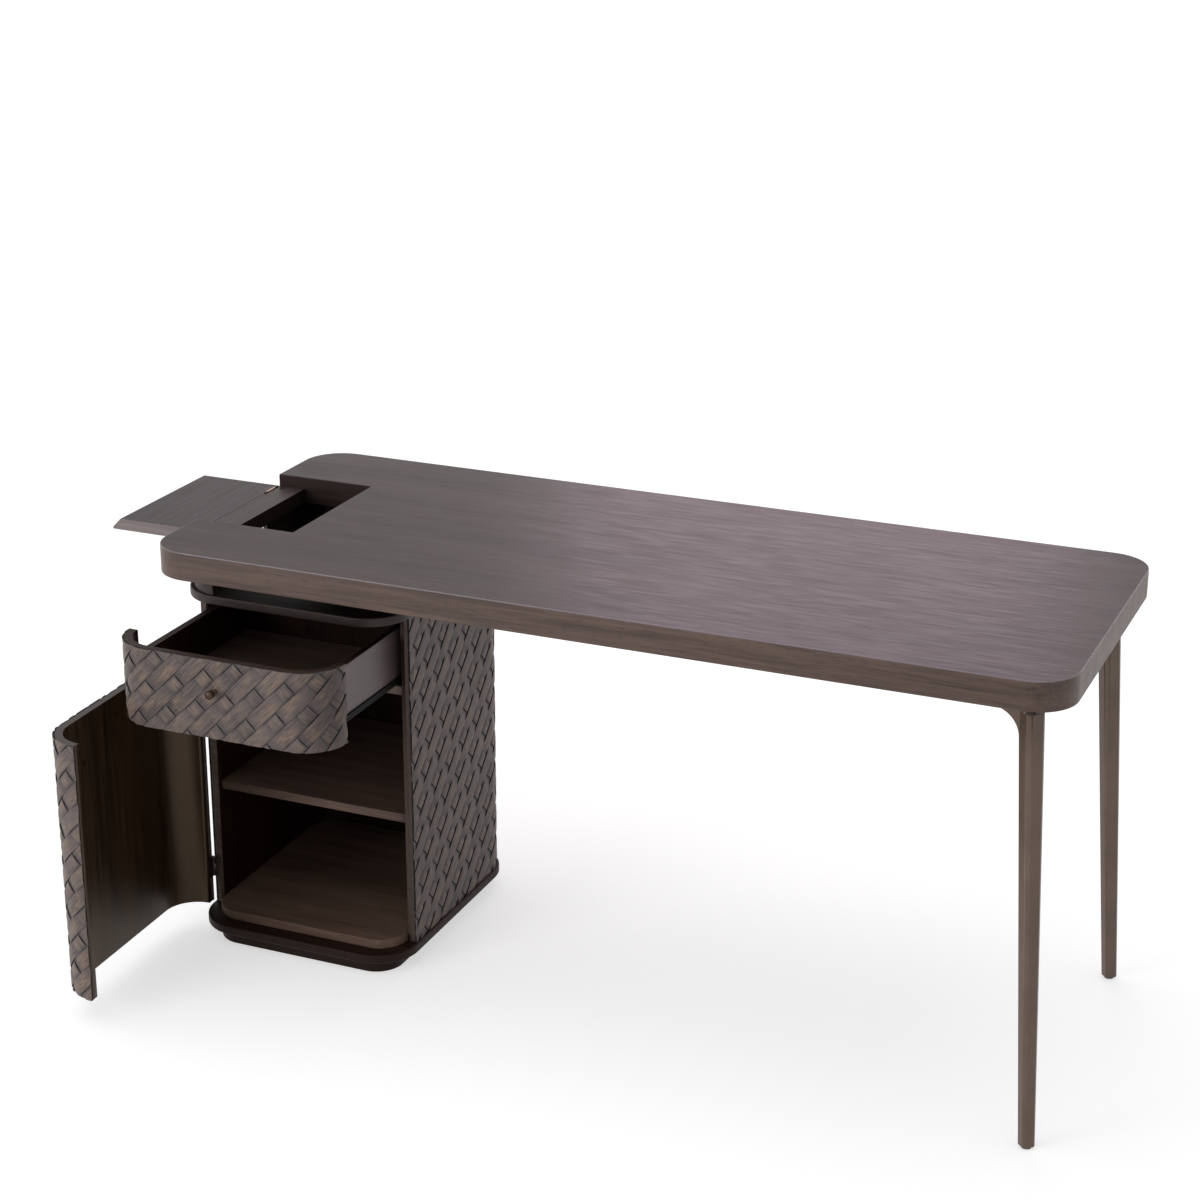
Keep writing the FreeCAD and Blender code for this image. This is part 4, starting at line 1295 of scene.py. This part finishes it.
@dataclass
class Boards:
    """The plain boards of the pedestal, neck, drawer and door, with eased edges."""

    base_ease: float = 2.5 * MM
    board_ease: float = 1.0 * MM
    thin_ease: float = 0.6 * MM
    # Faces that look one way get another finish: painted shade on the drawer sides' inner faces, painted
    # light on the side panels' and the divider's front edges.
    turned: dict[str, tuple[Heading, Finish]] = field(default_factory=lambda: {
        "drawer_left_side": (Heading.RIGHT, CARCASS_UP_PAINTED_SHADE),
        "drawer_right_side": (Heading.LEFT, CARCASS_UP_PAINTED_SHADE),
        "right_side_panel": (Heading.FRONT, PAINTED_LIGHT_EDGE),
        "left_side_panel": (Heading.FRONT, INNER_ALONG),
        "drawer_divider": (Heading.FRONT, PAINTED_LIGHT_EDGE),
    })

    WELD, LEVEL_SLACK, STRAIGHT = 1e-6, 1e-5, 1e-4
    LEVEL_NORMAL = 0.999

    def table(self) -> list[tuple[tuple[str, ...], float, Finish, Finish]]:
        """Lists the boards.

        Returns:
            Nodes, edge, and the finishes of their flat faces and of their sides.
        """
        return [
            (("plinth_board", "toe_base"), self.base_ease, PLINTH_WOOD_PAINTED_SHADE, PLINTH_WOOD_PAINTED_SHADE),
            (("pedestal_top_board",), self.base_ease, PAINTED_SHADE_WOOD, CARCASS_ALONG),
            (("floor_board",), self.board_ease, FLOOR_WOOD_PAINTED_LIGHT, FLOOR_WOOD_PAINTED_LIGHT),
            (("shelf_board", "drawer_divider"), self.board_ease, INNER_ALONG, INNER_ALONG),
            (("left_side_panel", "right_side_panel", "back_panel"), self.thin_ease, CARCASS_UP_PAINTED_SHADE, CARCASS_UP_PAINTED_SHADE),
            (("neck_front_wall", "neck_rear_wall"), self.thin_ease, PAINTED_SHADE_WOOD, CARCASS_ALONG),
            (("neck_right_wall", "neck_back_rail"), self.thin_ease, PAINTED_SHADE_WOOD, PAINTED_SHADE_WOOD),
            (("door_board",), self.board_ease, CARCASS_ALONG, DOOR_INSIDE_PAINTED_SHADE),
            (("drawer_front_board",), self.board_ease, PLINTH_WOOD_PAINTED_SHADE, CARCASS_UP_PAINTED_SHADE),
            (("drawer_left_side", "drawer_right_side"), self.board_ease, PLINTH_WOOD_PAINTED_SHADE, INNER_BACK),
            (("drawer_back",), self.thin_ease, CARCASS_UP_PAINTED_SHADE, CARCASS_UP_PAINTED_SHADE),
            (("drawer_bottom",), self.thin_ease, INNER_ALONG, INNER_ALONG),
        ]

    def outline(self, node: str) -> list[Vector]:
        """Reads the plan of a CAD board from its flat top.

        Args:
            node: the CAD node.

        Returns:
            The plan's points, anticlockwise, without those in a straight line.
        """
        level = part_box(node)[1][Grain.UP.value]
        bm = bmesh.new()
        bm.from_mesh(frame["nodes"][node].data)
        bmesh.ops.remove_doubles(bm, verts=bm.verts, dist=self.WELD)
        bm.normal_update()
        flat = {face for face in bm.faces if face.normal.z > self.LEVEL_NORMAL
                and abs(face.calc_center_median().z - level) < self.LEVEL_SLACK}
        neighbours: dict[bmesh.types.BMVert, Ring] = {}
        for edge in bm.edges:
            if sum(face in flat for face in edge.link_faces) == 1:
                first, second = edge.verts
                neighbours.setdefault(first, []).append(second)
                neighbours.setdefault(second, []).append(first)
        outlines = []
        left = dict.fromkeys(neighbours)
        while left:
            ahead = [next(iter(left))]
            outlines.append([])
            while ahead:
                left.pop(ahead[0])
                outlines[-1].append(ahead[0].co.xy)
                ahead = [vert for vert in neighbours[ahead[0]] if vert in left]
        bm.free()
        outline = max(outlines, key=lambda points: abs(signed_area(points)))
        if signed_area(outline) < 0:
            outline.reverse()
        return [here for before, here, after in corners_of(outline)
                if abs((here - before).normalized().cross((after - here).normalized())) > self.STRAIGHT]

    def build(self) -> None:
        """Builds and dresses the boards from the outlines of their CAD nodes."""
        for nodes, ease, flat, side in self.table():
            for node in nodes:
                low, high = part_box(node)
                levels = (low[Grain.UP.value], high[Grain.UP.value])
                mesh = EasedBoard(self.outline(node), levels, ease).mesh(node)
                finishes = [flat, side, side]
                if node in self.turned:
                    heading, finish = self.turned[node]
                    paint_heading(mesh, heading, BoardSlot.OWN)
                    finishes.append(finish)
                piece = add_piece(mesh, node + "_eased", finishes, node)
                weight_normals(piece)


@dataclass
class Hardware:
    """Metal, plastic and mortised pieces that keep their CAD shapes."""

    finishes: dict[str, Finish] = field(default_factory=lambda: {
        "leg_bronze": LEG_BRONZE, "knob_bronze": KNOB_BRONZE, "hinge_brass": HINGE_BRONZE,
        "slide_steel": SLIDE_STEEL_PAINTED_SHADE, "fixing_steel": FIXING_STEEL, "glide_plastic": GLIDE_PLASTIC,
        "top_wood": FLAP_WOOD, "carcass_wood": CARCASS_UP_PAINTED_SHADE, "inner_wood": INNER_ALONG,
        "plinth_wood": PLINTH_WOOD_PAINTED_SHADE, "woven_wood": WOVEN,
    })
    single: dict[str, Finish] = field(default_factory=lambda: {
        "door_knob_screw": DOOR_INSIDE_PAINTED_SHADE, "drawer_knob_screw": DARK_SCREW})
    # Faces of CAD nodes that look one way: the flap's front with a painted highlight, its veneered
    # underside, and the rail's inner face in painted shade.
    turned: tuple[tuple[str, Heading, Finish, float], ...] = (
        ("cable_flap", Heading.FRONT, FLAP_FRONT_PAINTED_HIGHLIGHT, 0.45),
        ("cable_flap", Heading.DOWN, TOP_VENEER, 0.95),
        ("cable_bay_rail", Heading.RIGHT, PAINTED_SHADE_WOOD, 0.9),
    )
    flap_hinges: tuple[str, ...] = ("flap_hinge_rail_leaves", "flap_hinge_flap_leaves", "flap_hinge_pins")
    flap_axis: tuple[float, float] = (-196.1 * MM, 729.2 * MM)
    barrel_reach: float = 2.4 * MM
    barrel_middles: Range = FLAP_HINGE_Y
    barrel_half: float = 14.0 * MM

    def dress(self) -> None:
        """Gives every CAD node the finish of its slot, and the flap hinges' barrels their copper."""
        for part in frame["record"]["subparts"]:
            name = part["node"]
            node = frame["nodes"][name]
            finish = self.single.get(name, self.finishes[part["material_slot"]])
            node.data.materials.clear()
            node.data.materials.append(Paint.of(finish))
            if name in self.flap_hinges:
                self.copper_barrel(node)
            LOG.info("%s: %s", name, finish.name)
        for name, heading, finish, reach in self.turned:
            data = frame["nodes"][name].data
            data.materials.append(Paint.of(finish))
            paint_heading(data, heading, len(data.materials) - 1, reach)

    def copper_barrel(self, node: bpy.types.Object) -> None:
        """Gives the faces round the flap's axis the copper finish.

        Args:
            node: one piece of the flap's hinges.
        """
        node.data.materials.append(Paint.of(HINGE_COPPER))
        axis_x, axis_z = self.flap_axis
        for face in node.data.polygons:
            corners = [node.matrix_world @ node.data.vertices[index].co for index in face.vertices]
            far = max(math.hypot(corner.x - axis_x, corner.z - axis_z) for corner in corners)
            middle = sum(corner.y for corner in corners) / len(corners)
            central = min(abs(middle - place) for place in self.barrel_middles) < self.barrel_half
            face.material_index = 1 if far < self.barrel_reach and central else 0


def aim(lamp: bpy.types.Object, direction: Vector) -> None:
    """Turns a lamp to shine along a direction."""
    lamp.rotation_mode = "QUATERNION"
    lamp.rotation_quaternion = direction.to_track_quat("-Z", "Y")


@dataclass(frozen=True)
class SoftBox:
    """Rectangular studio lamp."""

    name: str
    place: Place
    target: Place
    size: tuple[float, float]
    power: float
    colour: Colour = WHITE

    def build(self) -> None:
        """Hangs the lamp."""
        data = bpy.data.lights.new(self.name, "AREA")
        data.shape = "RECTANGLE"
        data.size, data.size_y = self.size
        data.energy, data.color = self.power, self.colour
        lamp = put_in_scene(self.name, data)
        lamp.location = self.place
        aim(lamp, Vector(self.target) - Vector(self.place))


LEFT_BOX = SoftBox("left_box", (-1.3, -2.9, 1.1), (0.1, -0.4, 0.5), (1.4, 1.4), power=29.0)
BACK_BOX = SoftBox(
    "back_box", (0.05, 2.5, 1.78), (0.8, 0.0, 0.75), (1.4, 0.9), power=10.0, colour=(1.0, 0.74, 0.88))


@dataclass
class Studio:
    """Pale floor, soft light and the photograph's camera."""

    camera_place: Place = (1978.21 * MM, -3562.98 * MM, 2066.20 * MM)
    yaw: float = 22.950
    pitch: float = 20.076
    roll: float = 0.172
    lens: float = 75.69
    sensor: float = 36.0
    floor_size: float = 60.0
    ambient: float = 0.34
    floor_tone: float = 0.68
    floor_lift: float = 0.59
    sky_from: Place = (-0.16, -0.02, 1.0)
    sky_strength: float = 0.95
    sky_angle: float = 70.0

    def camera(self) -> None:
        """Sets up the camera."""
        data = bpy.data.cameras.new("camera")
        data.lens, data.sensor_width = self.lens, self.sensor
        camera = put_in_scene("camera", data)
        turn = Matrix.Rotation(math.radians(self.yaw), 4, "Z")
        turn = turn @ Matrix.Rotation(math.radians(90 - self.pitch), 4, "X")
        turn = turn @ Matrix.Rotation(math.radians(self.roll), 4, "Z")
        camera.matrix_world = Matrix.Translation(self.camera_place) @ turn
        bpy.context.scene.camera = camera

    def seen_directly(self, nodes: Nodes) -> Socket:
        """Adds a mark of rays that show the background: straight, mirrored or through glass.

        Args:
            nodes: the node tree to add it to.

        Returns:
            The mark's socket, 1 for those rays and 0 for others.
        """
        path = nodes.add("ShaderNodeLightPath").outputs
        total = path["Is Camera Ray"]
        for name in ("Is Glossy Ray", "Is Transmission Ray"):
            total = nodes.reckon("MAXIMUM", total, path[name])
        return total

    def world(self) -> None:
        """White surroundings, dimmer for the light that they throw."""
        world = bpy.data.worlds.new("studio")
        bpy.context.scene.world = world
        world.use_nodes = True
        nodes = Nodes(world.node_tree)
        background = nodes.tree.nodes["Background"]
        nodes.join((*WHITE, 1.0), background.inputs["Color"])
        level = nodes.span(self.seen_directly(nodes), FULL, (self.ambient, 1.0))
        nodes.join(level, background.inputs["Strength"])

    def floor(self) -> None:
        """Pale floor that keeps the desk's soft shadow."""
        mesh = bpy.data.meshes.new("floor")
        half = self.floor_size / 2
        corners = [(-half, -half, 0), (half, -half, 0), (half, half, 0), (-half, half, 0)]
        mesh.from_pydata(corners, [], [(0, 1, 2, 3)])
        floor = put_in_scene("floor", mesh)
        material = bpy.data.materials.new("floor_paint")
        material.use_nodes = True
        nodes = Nodes(material.node_tree)
        nodes.tree.nodes.clear()
        paint = nodes.add("ShaderNodeBsdfDiffuse", {"Color": (*[self.floor_tone] * 3, 1.0)})
        lift = nodes.reckon("MULTIPLY", self.seen_directly(nodes), self.floor_lift)
        glow = nodes.add("ShaderNodeEmission", {"Strength": lift})
        both = nodes.add("ShaderNodeAddShader", {0: paint.outputs[0], 1: glow.outputs[0]})
        nodes.add("ShaderNodeOutputMaterial", {"Surface": both.outputs[0]})
        mesh.materials.append(material)

    def sky(self) -> None:
        """Adds the wide overhead light."""
        data = bpy.data.lights.new("overhead", "SUN")
        data.energy, data.angle = self.sky_strength, math.radians(self.sky_angle)
        aim(put_in_scene("overhead", data), -Vector(self.sky_from))

    def build(self) -> None:
        """Builds the studio."""
        self.camera()
        self.world()
        self.floor()
        self.sky()
        for box in (LEFT_BOX, BACK_BOX):
            box.build()


def main() -> None:
    """Builds the desk's looks and its studio."""
    logging.basicConfig(level=logging.INFO, format="%(name)s: %(message)s")
    bpy.context.scene.view_settings.view_transform = "Standard"
    Hardware().dress()
    DeskTop().build()
    for node, side in (("front_leg", -1.0), ("rear_leg", 1.0)):
        Leg(node, side).build()
    HingeScrews().build()
    WovenWalls().build()
    Boards().build()
    Studio().build()


if __name__ == "__main__":
    main()
